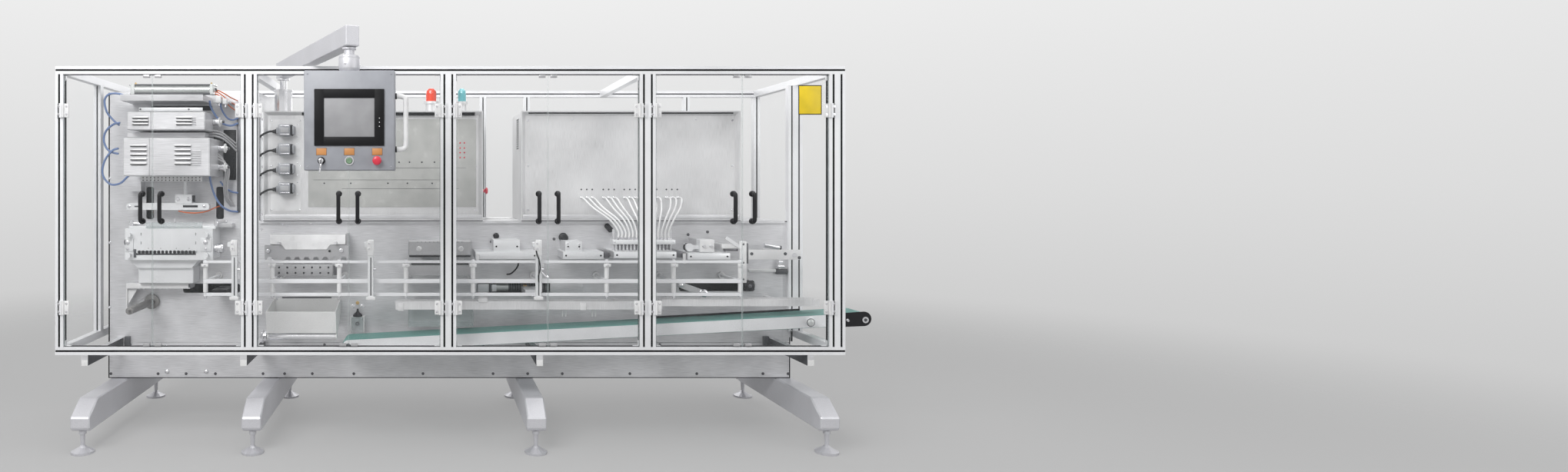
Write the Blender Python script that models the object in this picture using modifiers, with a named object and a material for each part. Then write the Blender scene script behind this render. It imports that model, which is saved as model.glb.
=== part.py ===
"""Form, fill and seal machine for small plastic bottles, with its guard, cabinets and conveyor.

Lengths are in metres. Distances are named along the guard from its left outer face,
back from the front face of the guard, and up from the floor. The function at() turns
them into the model's frame, which has X along the machine, Y from front to back and Z up.
"""

import math

import bmesh
import bpy
from mathutils import Matrix, Vector

# Clearance between pieces that touch, and the running clearance of sliding pieces.
GAP = 0.0003
RUNNING_GAP = 0.003

# Guard of aluminium profile.
GUARD_LENGTH = 4.0
GUARD_DEPTH = 1.10
GUARD_BOTTOM = 0.494
GUARD_TOP = 1.957
PROFILE = 0.040
WIDE_PROFILE = 0.080
GROOVE_WIDTH = 0.008
GROOVE_DEPTH = 0.008
FIRST_POST = 0.98
POST_PITCH = 1.01
REAR_POSTS = (1.22, 2.236, 2.515, 3.534)
PANE_THICKNESS = 0.006

# Base, legs and feet.
BASE_LEFT = 0.076
BASE_RIGHT = 3.938
BASE_REAR = 1.04
BASE_TOP = 0.465
PLATE_FRONT = 0.49
PLATE_THICKNESS = 0.012
PLATE_RIGHT = 3.90
BODY_REAR = 1.0
SHELL = 0.005
LEDGE_TOP = 1.155
LEDGE_THICKNESS = 0.014
LEDGE_REACH = 0.018
BRACKET_CENTRES = (0.148, 0.953, 2.453, 3.826)
BRACKET_WIDTH = 0.031
BRACKET_HEIGHT = 0.055
LEG_CENTRES = (0.14, 1.0, 2.433, 3.905)
LEG_WIDTH = 0.098
LEG_TOP = 0.262
LEG_UNDERSIDE = 0.115
LEG_END_REACH = 0.040
LEG_END_HEIGHT = 0.056
LEG_END_UNDERSIDE = 0.131
LEG_SLOPE = 0.110
PAD_RADIUS = 0.0575
PAD_HEIGHT = 0.014
STEM_RADIUS = 0.0125
NUT_RADIUS = 0.018
NUT_HEIGHT = 0.018

# Forming tower in the first bay.
TOWER_RIGHT = 0.93
TOWER_TOP = 1.882
TOWER_REAR = 0.95

# Cabinets on the base.
CABINET_FRONT = 0.46
CABINET_DEPTH = 0.49
CABINET_HEIGHT = 0.618
CABINET_LEFT_SPAN = (0.958, 2.196)
CABINET_RIGHT_SPAN = (2.412, 3.646)
CABINET_LIP = 0.008
CABINET_MITRE = 0.026
CABINET_RECESS = 0.020
BEACON_RED_INSET = 0.291
BEACON_TEAL_INSET = 0.113

# Operator panel on its swing arm.
PANEL_FRONT = -0.53
PANEL_DEPTH = 0.10
PANEL_CENTRE = 1.541
PANEL_WIDTH = 0.402
PANEL_SPAN = (PANEL_CENTRE - PANEL_WIDTH / 2, PANEL_CENTRE + PANEL_WIDTH / 2)
PANEL_BOTTOM = 1.418
PANEL_TOP = 1.860
STOP_REACH = 0.028
ARM_PIVOT_ALONG = 1.055
ARM_PIVOT_BACK = 0.56
ARM_DROP_ALONG = 1.536
ARM_DROP_BACK = -0.48
ARM_BOTTOM = 1.970
ARM_WIDTH = 0.064
ARM_HEIGHT = 0.091
ARM_OVERHANG = 0.045

# Conveyor with its nose past the guard.
NOSE_OVERHANG = 0.223
CONVEYOR_START = 1.43
CONVEYOR_SLOPE = 0.0527
NOSE_HEIGHT = 0.645
BELT_RADIUS = 0.034
BELT_THICKNESS = 0.003
BELT_FRONT = 0.20
BELT_WIDTH = 0.16
SIDE_PLATE = 0.006

# The frame's origin lies under the middle of the whole machine.
OVERALL_LENGTH = GUARD_LENGTH + NOSE_OVERHANG
REAR_REACH = GUARD_DEPTH + PAD_RADIUS
FRONT_REACH = PANEL_FRONT - STOP_REACH
DEPTH_CENTRE = (REAR_REACH + FRONT_REACH) / 2

ROUND_SIDES = 20
SMALL_SIDES = 10

for old in list(bpy.data.objects):
    bpy.data.objects.remove(old, do_unlink=True)

PARTS = bpy.data.collections.new("filling_machine")
CUTTERS = bpy.data.collections.new("cutters")
bpy.context.scene.collection.children.link(PARTS)
bpy.context.scene.collection.children.link(CUTTERS)


def at(along, back, up):
    """Point in the model's frame."""
    return Vector((along - OVERALL_LENGTH / 2, back - DEPTH_CENTRE, up))


def material(name, colour, roughness, metallic=0.0, alpha=1.0):
    """Plain Principled material."""
    made = bpy.data.materials.new(name)
    made.use_nodes = True
    shader = made.node_tree.nodes["Principled BSDF"]
    shader.inputs["Base Color"].default_value = (*colour, 1.0)
    shader.inputs["Roughness"].default_value = roughness
    shader.inputs["Metallic"].default_value = metallic
    shader.inputs["Alpha"].default_value = alpha
    return made


def add_shape(mesh):
    """Construction shape from a mesh, kept with the cutters until it is used."""
    made = bpy.data.objects.new("shape", mesh)
    made.hide_render = True
    made.display_type = "WIRE"
    CUTTERS.objects.link(made)
    return made


def shape_from(builder):
    """Construction shape from a bmesh, which is freed."""
    bmesh.ops.recalc_face_normals(builder, faces=builder.faces)
    mesh = bpy.data.meshes.new("shape")
    builder.to_mesh(mesh)
    builder.free()
    return add_shape(mesh)


def settle(source):
    """Mesh of an object with its modifiers worked out, in the model's frame."""
    bpy.context.view_layer.update()
    graph = bpy.context.evaluated_depsgraph_get()
    mesh = bpy.data.meshes.new_from_object(source.evaluated_get(graph))
    mesh.transform(source.matrix_world)
    return mesh


def settled_shape(source):
    """Construction shape that takes the place of a curve or a modified object."""
    mesh = settle(source)
    builder = bmesh.new()
    builder.from_mesh(mesh)
    bmesh.ops.remove_doubles(builder, verts=builder.verts, dist=0.000002)
    builder.to_mesh(mesh)
    builder.free()
    bpy.data.objects.remove(source, do_unlink=True)
    return add_shape(mesh)


def block(along, back, up, bevel=0.0):
    """Box between two bounds along, back and up."""
    low = at(along[0], back[0], up[0])
    high = at(along[1], back[1], up[1])
    builder = bmesh.new()
    bmesh.ops.create_cube(builder, size=1.0)
    bmesh.ops.scale(builder, verts=builder.verts, vec=high - low)
    bmesh.ops.translate(builder, verts=builder.verts, vec=(low + high) / 2)
    if bevel:
        bmesh.ops.bevel(builder, geom=builder.edges[:], offset=bevel, segments=1, affect="EDGES")
    return shape_from(builder)


def rod(start, end, radius, sides=SMALL_SIDES, end_radius=None):
    """Round bar or cone between two points of the model's frame."""
    run = end - start
    turn = run.to_track_quat("Z", "Y").to_matrix().to_4x4()
    builder = bmesh.new()
    bmesh.ops.create_cone(
        builder,
        cap_ends=True,
        segments=sides,
        radius1=radius,
        radius2=radius if end_radius is None else end_radius,
        depth=run.length,
        matrix=Matrix.Translation((start + end) / 2) @ turn,
    )
    return shape_from(builder)


def bore(start, end, radius, sides=SMALL_SIDES):
    """Cutter for a running hole whose flats all clear a bar of the given radius."""
    return rod(start, end, (radius + GAP) / math.cos(math.pi / sides), sides)


def turned(profile, base, direction, steps=ROUND_SIDES):
    """Turned shape from (radius, height) points, from its top to its bottom."""
    mesh = bpy.data.meshes.new("profile")
    points = [(radius, 0.0, height) for radius, height in profile]
    mesh.from_pydata(points, [(step, step + 1) for step in range(len(points) - 1)], [])
    made = bpy.data.objects.new("profile", mesh)
    CUTTERS.objects.link(made)
    made.matrix_world = Matrix.Translation(base) @ direction.to_track_quat("Z", "Y").to_matrix().to_4x4()
    screw = made.modifiers.new("Screw", "SCREW")
    screw.steps = steps
    screw.render_steps = steps
    screw.use_merge_vertices = True
    screw.merge_threshold = 0.00001
    return settled_shape(made)


def tube(points, radius, resolution=2):
    """Bent tube through points of the model's frame."""
    curve = bpy.data.curves.new("tube", "CURVE")
    curve.dimensions = "3D"
    curve.bevel_depth = radius
    curve.bevel_resolution = resolution
    curve.use_fill_caps = True
    spline = curve.splines.new("POLY")
    spline.points.add(len(points) - 1)
    for place, point in zip(spline.points, points):
        place.co = (*point, 1.0)
    made = bpy.data.objects.new("tube", curve)
    CUTTERS.objects.link(made)
    return settled_shape(made)


def outline(loops, thickness, centre, side_view=False):
    """Plate from flat outlines, seen from the front, or from the right side.

    The first loop is the edge and the others are holes. Their points are (along, up)
    for the front view and (back, up) for the side view.
    """
    curve = bpy.data.curves.new("outline", "CURVE")
    curve.dimensions = "2D"
    curve.fill_mode = "BOTH"
    curve.extrude = thickness / 2
    for loop in loops:
        spline = curve.splines.new("POLY")
        spline.points.add(len(loop) - 1)
        spline.use_cyclic_u = True
        for place, (across, up) in zip(spline.points, loop):
            place.co = (across, up, 0.0, 1.0)
    made = bpy.data.objects.new("outline", curve)
    CUTTERS.objects.link(made)
    if side_view:
        turn = Matrix(((0, 0, 1), (1, 0, 0), (0, 1, 0))).to_4x4()
        made.matrix_world = Matrix.Translation(at(centre, 0, 0)) @ turn
    else:
        turn = Matrix(((1, 0, 0), (0, 0, -1), (0, 1, 0))).to_4x4()
        made.matrix_world = Matrix.Translation(at(0, centre, 0)) @ turn
    return settled_shape(made)


def arc(centre, radius, start, end, steps):
    """Points of an arc in a flat outline, with its angles in degrees."""
    points = []
    for step in range(steps + 1):
        angle = math.radians(start + (end - start) * step / steps)
        points.append((centre[0] + radius * math.cos(angle), centre[1] + radius * math.sin(angle)))
    return points


def rounded(along, up, radius):
    """Outline of a rectangle between two bounds, with round corners."""
    right_top = arc((along[1] - radius, up[1] - radius), radius, 0, 90, 4)
    left_top = arc((along[0] + radius, up[1] - radius), radius, 90, 180, 4)
    left_low = arc((along[0] + radius, up[0] + radius), radius, 180, 270, 4)
    right_low = arc((along[1] - radius, up[0] + radius), radius, 270, 360, 4)
    return right_top + left_top + left_low + right_low


def combine(first, others, operation):
    """Add one Boolean to the first shape for each of the others."""
    for other in others:
        change = first.modifiers.new(operation, "BOOLEAN")
        change.operation = operation
        change.solver = "EXACT"
        change.object = other


def part(name, look, shapes, cuts=(), origin=None):
    """Named part: its shapes joined into one body, its cuts taken out, its origin placed."""
    first = shapes[0]
    combine(first, shapes[1:], "UNION")
    combine(first, cuts, "DIFFERENCE")
    mesh = settle(first)
    for used in [*shapes, *cuts]:
        bpy.data.objects.remove(used, do_unlink=True)
    place = at(0, 0, 0) if origin is None else origin
    mesh.transform(Matrix.Translation(-place))
    mesh.name = name
    mesh.shade_smooth()
    mesh.set_sharp_from_angle(angle=math.radians(32))
    mesh.materials.clear()
    mesh.materials.append(look)
    made = bpy.data.objects.new(name, mesh)
    made.location = place
    PARTS.objects.link(made)
    return made


ALONG = Vector((1, 0, 0))
BACK = Vector((0, 1, 0))
UP = Vector((0, 0, 1))

STEEL = material("stainless_steel", (0.62, 0.63, 0.64), 0.32, 0.9)
BRIGHT_STEEL = material("bright_steel", (0.78, 0.78, 0.79), 0.2, 1.0)
PROFILE_METAL = material("profile_aluminium", (0.82, 0.83, 0.84), 0.38, 0.8)
CLEAR = material("clear_sheet", (0.85, 0.88, 0.90), 0.05, 0.0, 0.25)
WHITE = material("white_plastic", (0.86, 0.86, 0.85), 0.4)
BLACK = material("black_plastic", (0.02, 0.02, 0.022), 0.4)
PANEL_GREY = material("panel_grey", (0.36, 0.37, 0.40), 0.45)
TEAL = material("teal_belt", (0.18, 0.36, 0.33), 0.6)
RED = material("red_plastic", (0.75, 0.05, 0.08), 0.35)
GREEN = material("green_plastic", (0.18, 0.32, 0.18), 0.35)
BEACON_RED = material("beacon_red", (0.80, 0.06, 0.02), 0.2)
BEACON_TEAL = material("beacon_teal", (0.15, 0.55, 0.58), 0.2)

POSTS = tuple(FIRST_POST + POST_PITCH * step for step in range(3))
BEAM_LOW = GUARD_BOTTOM + PROFILE
BEAM_HIGH = GUARD_TOP - PROFILE
REAR_FRAME_FRONT = GUARD_DEPTH - PROFILE
RIGHT_POST_LEFT = GUARD_LENGTH - WIDE_PROFILE
BODY_FRONT = PLATE_FRONT + PLATE_THICKNESS
PLATE_BOTTOM = BASE_TOP + GAP
PLATE_TOP = LEDGE_TOP - LEDGE_THICKNESS

# Clear openings between the posts, where the door leaves hang in pairs.
BAYS = (
    (PROFILE, POSTS[0] - WIDE_PROFILE / 2),
    (POSTS[0] + WIDE_PROFILE / 2, POSTS[1] - WIDE_PROFILE / 2),
    (POSTS[1] + WIDE_PROFILE / 2, POSTS[2] - WIDE_PROFILE / 2),
    (POSTS[2] + WIDE_PROFILE / 2, RIGHT_POST_LEFT),
)


def make_leg(number, centre):
    """Cast leg under the base, from in front of the guard to behind it."""
    front = -LEG_END_REACH
    rear = GUARD_DEPTH + LEG_END_REACH
    end_top = LEG_END_UNDERSIDE + LEG_END_HEIGHT
    run_in = LEG_END_REACH / 2
    edge = [
        (front, LEG_END_UNDERSIDE),
        (front + run_in, LEG_UNDERSIDE),
        (rear - run_in, LEG_UNDERSIDE),
        (rear, LEG_END_UNDERSIDE),
        (rear, end_top),
        (rear - LEG_SLOPE, LEG_TOP),
        (front + LEG_SLOPE, LEG_TOP),
        (front, end_top),
    ]
    leg = outline([edge], LEG_WIDTH, centre, side_view=True)
    round_over = leg.modifiers.new("Bevel", "BEVEL")
    round_over.width = 0.006
    round_over.segments = 1
    round_over.limit_method = "ANGLE"
    part(f"leg_{number}", STEEL, [settled_shape(leg)])


def make_foot(number, along, back):
    """Levelling foot: pad, ball neck, stem and the lock nut under its leg."""
    nut_top = LEG_UNDERSIDE - GAP
    nut_bottom = nut_top - NUT_HEIGHT
    profile = [
        (0.0, nut_top),
        (NUT_RADIUS, nut_top),
        (NUT_RADIUS, nut_bottom),
        (STEM_RADIUS, nut_bottom),
        (STEM_RADIUS * 0.8, PAD_HEIGHT * 2.8),
        (STEM_RADIUS * 1.7, PAD_HEIGHT * 2.1),
        (PAD_RADIUS * 0.86, PAD_HEIGHT),
        (PAD_RADIUS, PAD_HEIGHT * 0.75),
        (PAD_RADIUS, 0.0),
        (0.0, 0.0),
    ]
    foot = turned(profile, at(along, back, 0), UP, 16)
    part(f"foot_{number}", BRIGHT_STEEL, [foot])


for leg_number, leg_centre in enumerate(LEG_CENTRES, start=1):
    make_leg(leg_number, leg_centre)
    make_foot(2 * leg_number - 1, leg_centre, 0.0)
    make_foot(2 * leg_number, leg_centre, GUARD_DEPTH)

# Openings through the face plate, as spans along and up.
FEED_OPENING = ((0.499, 0.821), (0.745, 0.797))
DRIVE_OPENING = ((2.163, 2.756), (0.745, 0.801))
CRANK_OPENING = ((3.309, 3.736), (0.754, 0.815))
SLOT_LEFT = ((0.290, 0.334), (1.163, 1.346))
SLOT_RIGHT = ((0.686, 0.730), (1.163, 1.346))
HOLE_OVER_VENT = (2.272, 1.068, 0.017)
HOLE_OVER_PROBE = (2.652, 1.060, 0.026)


def make_housing():
    """Machine body of sheet: base frame, body behind the face plate, and the forming tower."""
    base = block((BASE_LEFT, BASE_RIGHT), (PLATE_FRONT, BASE_REAR), (LEG_TOP + GAP, BASE_TOP), 0.004)
    body = block((BASE_LEFT, PLATE_RIGHT), (BODY_FRONT + GAP, BODY_REAR), (BASE_TOP - 0.01, LEDGE_TOP))
    tower = block((BASE_LEFT, TOWER_RIGHT), (BODY_FRONT + GAP, TOWER_REAR), (LEDGE_TOP - 0.01, TOWER_TOP))
    shapes = [base, body, tower]
    bracket_top = GUARD_BOTTOM - GAP
    for centre in BRACKET_CENTRES:
        front_edge = [
            (GAP, bracket_top),
            (GAP, bracket_top - BRACKET_HEIGHT * 0.45),
            (PLATE_FRONT + 0.01, bracket_top - BRACKET_HEIGHT * 1.6),
            (PLATE_FRONT + 0.01, BASE_TOP - 0.003),
            (PLATE_FRONT - GAP, BASE_TOP - 0.003),
            (PLATE_FRONT - GAP, bracket_top),
        ]
        rear_edge = [
            (BASE_REAR - 0.01, BASE_TOP - 0.005),
            (BASE_REAR - 0.01, bracket_top - BRACKET_HEIGHT),
            (GUARD_DEPTH, bracket_top - BRACKET_HEIGHT * 0.45),
            (GUARD_DEPTH, bracket_top),
            (BASE_REAR + 0.002, bracket_top),
        ]
        shapes.append(outline([front_edge], BRACKET_WIDTH, centre, side_view=True))
        shapes.append(outline([rear_edge], BRACKET_WIDTH, centre, side_view=True))
    inside = (BODY_FRONT + GAP + SHELL, BODY_REAR - SHELL)
    cuts = [
        block((BASE_LEFT + SHELL, PLATE_RIGHT - SHELL), inside, (LEG_TOP + GAP + SHELL, LEDGE_TOP - SHELL)),
        block((BASE_LEFT + SHELL, TOWER_RIGHT - SHELL), (inside[0], TOWER_REAR - SHELL), (BASE_TOP, TOWER_TOP - SHELL)),
    ]
    for span, height in (FEED_OPENING, DRIVE_OPENING, CRANK_OPENING, SLOT_LEFT, SLOT_RIGHT):
        wide = (span[0] - 0.01, span[1] + 0.01)
        tall = (height[0] - 0.01, height[1] + 0.02)
        cuts.append(block(wide, (BODY_FRONT - 0.01, inside[0] + 0.01), tall))
    for along, up, radius in (HOLE_OVER_VENT, HOLE_OVER_PROBE):
        start = at(along, BODY_FRONT - 0.01, up)
        cuts.append(rod(start, start + BACK * (SHELL + 0.03), radius, ROUND_SIDES))
    part("machine_housing", STEEL, shapes, cuts)


def grooves(along, back, up, axis):
    """Cutter for the groove in the middle of one profile's front face."""
    half = GROOVE_WIDTH / 2
    if axis == "along":
        middle = (up[0] + up[1]) / 2
        return block(along, (back - 0.01, back + GROOVE_DEPTH), (middle - half, middle + half))
    middle = (along[0] + along[1]) / 2
    return block((middle - half, middle + half), (back - 0.01, back + GROOVE_DEPTH), up)


HINGE_HEIGHTS = (0.698, 1.696)
HINGE_TALL = 0.072
HINGE_LEAF = 0.026
HINGE_THICKNESS = 0.005
PIN_BACK = -0.008
PIN_RADIUS = 0.006
LEAF_GAP = 0.003
LEAF_FRONT = 0.004
LEAF_THICKNESS = 0.008
HANDLE_BOTTOM = 1.163
HANDLE_TOP = 1.319
HANDLE_REACH = 0.045
HANDLE_RADIUS = 0.009
HANDLE_FROM_SEAM = 0.048


def hinge_edges():
    """Post edge of every leaf, with the way its leaf runs from it along the guard."""
    edges = []
    for left, right in BAYS:
        edges.append((left, 1))
        edges.append((right, -1))
    return edges


def make_front_frame():
    """Front of the guard: two long beams, five posts and the fixed hinge plates."""
    full = (0.0, GUARD_LENGTH)
    deep = (0.0, PROFILE)
    low = (GUARD_BOTTOM, BEAM_LOW)
    high = (BEAM_HIGH, GUARD_TOP)
    tall = (BEAM_LOW - 0.002, BEAM_HIGH + 0.002)
    shapes = [block(full, deep, low), block(full, deep, high), block((0.0, PROFILE), deep, tall)]
    cuts = [grooves((-0.01, GUARD_LENGTH + 0.01), 0.0, low, "along")]
    cuts.append(grooves((-0.01, GUARD_LENGTH + 0.01), 0.0, high, "along"))
    inner = (BEAM_LOW, BEAM_HIGH)
    cuts.append(grooves((0.0, PROFILE), 0.0, inner, "up"))
    lefts = [centre - WIDE_PROFILE / 2 for centre in POSTS] + [RIGHT_POST_LEFT]
    for left in lefts:
        middle = left + WIDE_PROFILE / 2
        shapes.append(block((left, left + WIDE_PROFILE), deep, tall))
        cuts.append(grooves((left, middle), 0.0, inner, "up"))
        cuts.append(grooves((middle, left + WIDE_PROFILE), 0.0, inner, "up"))
    for edge, way in hinge_edges():
        near = edge + way * (LEAF_GAP / 2 - PIN_RADIUS - GAP)
        far = near - way * HINGE_LEAF
        for bottom in HINGE_HEIGHTS:
            span = (min(near, far), max(near, far))
            shapes.append(block(span, (PIN_BACK - 0.002, 0.002), (bottom, bottom + HINGE_TALL)))
    part("guard_front_frame", PROFILE_METAL, shapes, cuts)


def make_back_frame():
    """Back and sides of the guard, with the beams that cross its open top."""
    full = (0.0, GUARD_LENGTH)
    back = (REAR_FRAME_FRONT, GUARD_DEPTH)
    side = (PROFILE + GAP, REAR_FRAME_FRONT + 0.002)
    low = (GUARD_BOTTOM, BEAM_LOW)
    high = (BEAM_HIGH, GUARD_TOP)
    tall = (BEAM_LOW - 0.002, BEAM_HIGH + 0.002)
    middle_back = (PLATE_FRONT - PROFILE / 2, PLATE_FRONT + PROFILE / 2)
    shapes = [block(full, back, low), block(full, back, high)]
    for left in (0.0, GUARD_LENGTH - PROFILE):
        shapes.append(block((left, left + PROFILE), back, tall))
        shapes.append(block((left, left + PROFILE), side, low))
        shapes.append(block((left, left + PROFILE), side, high))
    shapes.append(block((0.0, PROFILE), middle_back, tall))
    shapes.append(block((RIGHT_POST_LEFT, GUARD_LENGTH), middle_back, tall))
    for centre in REAR_POSTS:
        shapes.append(block((centre - PROFILE / 2, centre + PROFILE / 2), back, tall))
    for centre in POSTS:
        shapes.append(block((centre - PROFILE / 2, centre + PROFILE / 2), side, high))
    inner = (BEAM_LOW, BEAM_HIGH)
    cuts = []
    for centre in (PROFILE / 2, *REAR_POSTS, GUARD_LENGTH - PROFILE / 2):
        span = (centre - PROFILE / 2, centre + PROFILE / 2)
        cuts.append(grooves(span, REAR_FRAME_FRONT, inner, "up"))
    right_middle = RIGHT_POST_LEFT + WIDE_PROFILE / 2
    cuts.append(grooves((0.0, PROFILE), middle_back[0], inner, "up"))
    cuts.append(grooves((RIGHT_POST_LEFT, right_middle), middle_back[0], inner, "up"))
    cuts.append(grooves((right_middle, GUARD_LENGTH), middle_back[0], inner, "up"))
    part("guard_back_frame", PROFILE_METAL, shapes, cuts)


PANE_BOTTOM = GUARD_BOTTOM + 0.006
PANE_TOP = BEAM_HIGH - GAP
EXIT_FRONT = 0.08
EXIT_REAR = 0.42
EXIT_TOP = 0.80


def make_fixed_panes():
    """Fixed clear sheets of the guard's left side, right side and back."""
    left_inner = PROFILE + GAP
    rear_inner = REAR_FRAME_FRONT - GAP
    front_end = PROFILE + 0.005
    left_rear = rear_inner - PANE_THICKNESS - 0.002
    left = block((left_inner, left_inner + PANE_THICKNESS), (front_end, left_rear), (PANE_BOTTOM, PANE_TOP))
    part("left_pane", CLEAR, [left])
    edge = [
        (front_end, PANE_BOTTOM),
        (EXIT_FRONT, PANE_BOTTOM),
        (EXIT_FRONT, EXIT_TOP),
        (EXIT_REAR, EXIT_TOP),
        (EXIT_REAR, PANE_BOTTOM),
        (rear_inner, PANE_BOTTOM),
        (rear_inner, GUARD_TOP - 0.006),
        (front_end, GUARD_TOP - 0.006),
    ]
    right_centre = GUARD_LENGTH + GAP + PANE_THICKNESS / 2
    part("right_pane", CLEAR, [outline([edge], PANE_THICKNESS, right_centre, side_view=True)])
    span = (left_inner, GUARD_LENGTH - PROFILE - GAP)
    rear = block(span, (rear_inner - PANE_THICKNESS, rear_inner), (PANE_BOTTOM, PANE_TOP))
    part("rear_pane", CLEAR, [rear])


def make_door(number, edge, way, seam):
    """Clear leaf on two hinges with a bridge handle near the seam to its neighbour."""
    near = edge + way * LEAF_GAP
    far = seam - way * LEAF_GAP / 2
    span = (min(near, far), max(near, far))
    leaf_up = (BEAM_LOW + LEAF_GAP, BEAM_HIGH - LEAF_GAP)
    leaf = block(span, (LEAF_FRONT, LEAF_FRONT + LEAF_THICKNESS), leaf_up)
    pin_along = edge + way * LEAF_GAP / 2
    shapes = [leaf]
    for bottom in HINGE_HEIGHTS:
        foot = at(pin_along, PIN_BACK, bottom)
        shapes.append(rod(foot, foot + UP * HINGE_TALL, PIN_RADIUS, 8))
        plate_end = near + way * HINGE_LEAF
        plate_span = (min(pin_along, plate_end), max(pin_along, plate_end))
        plate_back = (LEAF_FRONT - HINGE_THICKNESS * 1.6, LEAF_FRONT + 0.001)
        shapes.append(block(plate_span, plate_back, (bottom + 0.001, bottom + HINGE_TALL - 0.001)))
    grip = seam - way * HANDLE_FROM_SEAM
    grip_back = LEAF_FRONT - HANDLE_REACH + HANDLE_RADIUS
    points = [
        at(grip, LEAF_FRONT + 0.003, HANDLE_BOTTOM + HANDLE_RADIUS),
        at(grip, grip_back + 0.006, HANDLE_BOTTOM + HANDLE_RADIUS),
        at(grip, grip_back, HANDLE_BOTTOM + HANDLE_RADIUS + 0.008),
        at(grip, grip_back, HANDLE_TOP - HANDLE_RADIUS - 0.008),
        at(grip, grip_back + 0.006, HANDLE_TOP - HANDLE_RADIUS),
        at(grip, LEAF_FRONT + 0.003, HANDLE_TOP - HANDLE_RADIUS),
    ]
    shapes.append(tube(points, HANDLE_RADIUS))
    part(f"door_{number}", CLEAR, shapes, origin=at(pin_along, PIN_BACK, BEAM_LOW))


make_housing()
make_front_frame()
make_back_frame()
make_fixed_panes()
for bay_number, (bay_left, bay_right) in enumerate(BAYS):
    bay_seam = (bay_left + bay_right) / 2
    make_door(2 * bay_number + 1, bay_left, 1, bay_seam)
    make_door(2 * bay_number + 2, bay_right, -1, bay_seam)

# Stations on the face plate, listed from the infeed side.
RAIL_BACK = 0.20
RAIL_DEPTH = 0.028
CONSOLE_FRONT = 0.36
JAW_STROKE = 0.022
SHELF_SPAN = (0.214, 0.664)
SHELF_UP = (1.814, 1.848)
SHELF_FRONT = 0.30
LEDGE_SPAN = (0.205, 0.790)
ROD_RADIUS = 0.008
PREHEAT_CENTRE = 1.231
PREHEAT_WIDTH = 0.414
PREHEAT_SPAN = (PREHEAT_CENTRE - PREHEAT_WIDTH / 2, PREHEAT_CENTRE + PREHEAT_WIDTH / 2)
PRESS_ROD_INSET = 0.053
PREHEAT_UP = (0.995, 1.087)
PREHEAT_RODS = (PREHEAT_SPAN[0] + PRESS_ROD_INSET, PREHEAT_SPAN[1] - PRESS_ROD_INSET)
MARK_CENTRE = 1.9515
MARK_WIDTH = 0.341
MARK_SPAN = (MARK_CENTRE - MARK_WIDTH / 2, MARK_CENTRE + MARK_WIDTH / 2)
MARK_UP = (0.972, 1.051)
MARK_RODS = (MARK_SPAN[0] + PRESS_ROD_INSET, MARK_SPAN[1] - PRESS_ROD_INSET)
SEAL_CENTRE = 3.4025
SEAL_WIDTH = 0.079
SEAL_ROD_INSET = 0.020
SEAL_SPAN = (SEAL_CENTRE - SEAL_WIDTH / 2, SEAL_CENTRE + SEAL_WIDTH / 2)
SEAL_UP = (0.990, 1.058)
SEAL_RODS = (SEAL_SPAN[0] + SEAL_ROD_INSET, SEAL_SPAN[1] - SEAL_ROD_INSET)
FILL_CENTRE = 3.0495
FILL_WIDTH = 0.335
FILL_SPAN = (FILL_CENTRE - FILL_WIDTH / 2, FILL_CENTRE + FILL_WIDTH / 2)
FILL_BASE_UP = (0.963, 0.9975)
FILL_ROD_INSET = 0.014
FILL_ROD_BACK = 0.305
FILL_ROD_TOP = 1.115
FILL_BACK = 0.268
CUTTER_PIVOT = (3.872, 0.976)
CUTTER_PIN_RADIUS = 0.012
BRACKET_ARM = ((0.210, 0.565), (0.780, 0.812))
BRACKET_FRONT = 0.40
STATION_BASES = (
    ((2.144, 2.482), (0.953, 0.991), 0.30),
    ((2.620, 2.841), (0.953, 0.991), 0.30),
    ((3.288, 3.517), (0.953, 0.987), 0.27),
)
STATION_BLOCKS = (
    ((2.244, 2.390), (0.985, 1.054), 0.33),
    ((2.635, 2.727), (0.985, 1.047), 0.32),
)


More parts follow.
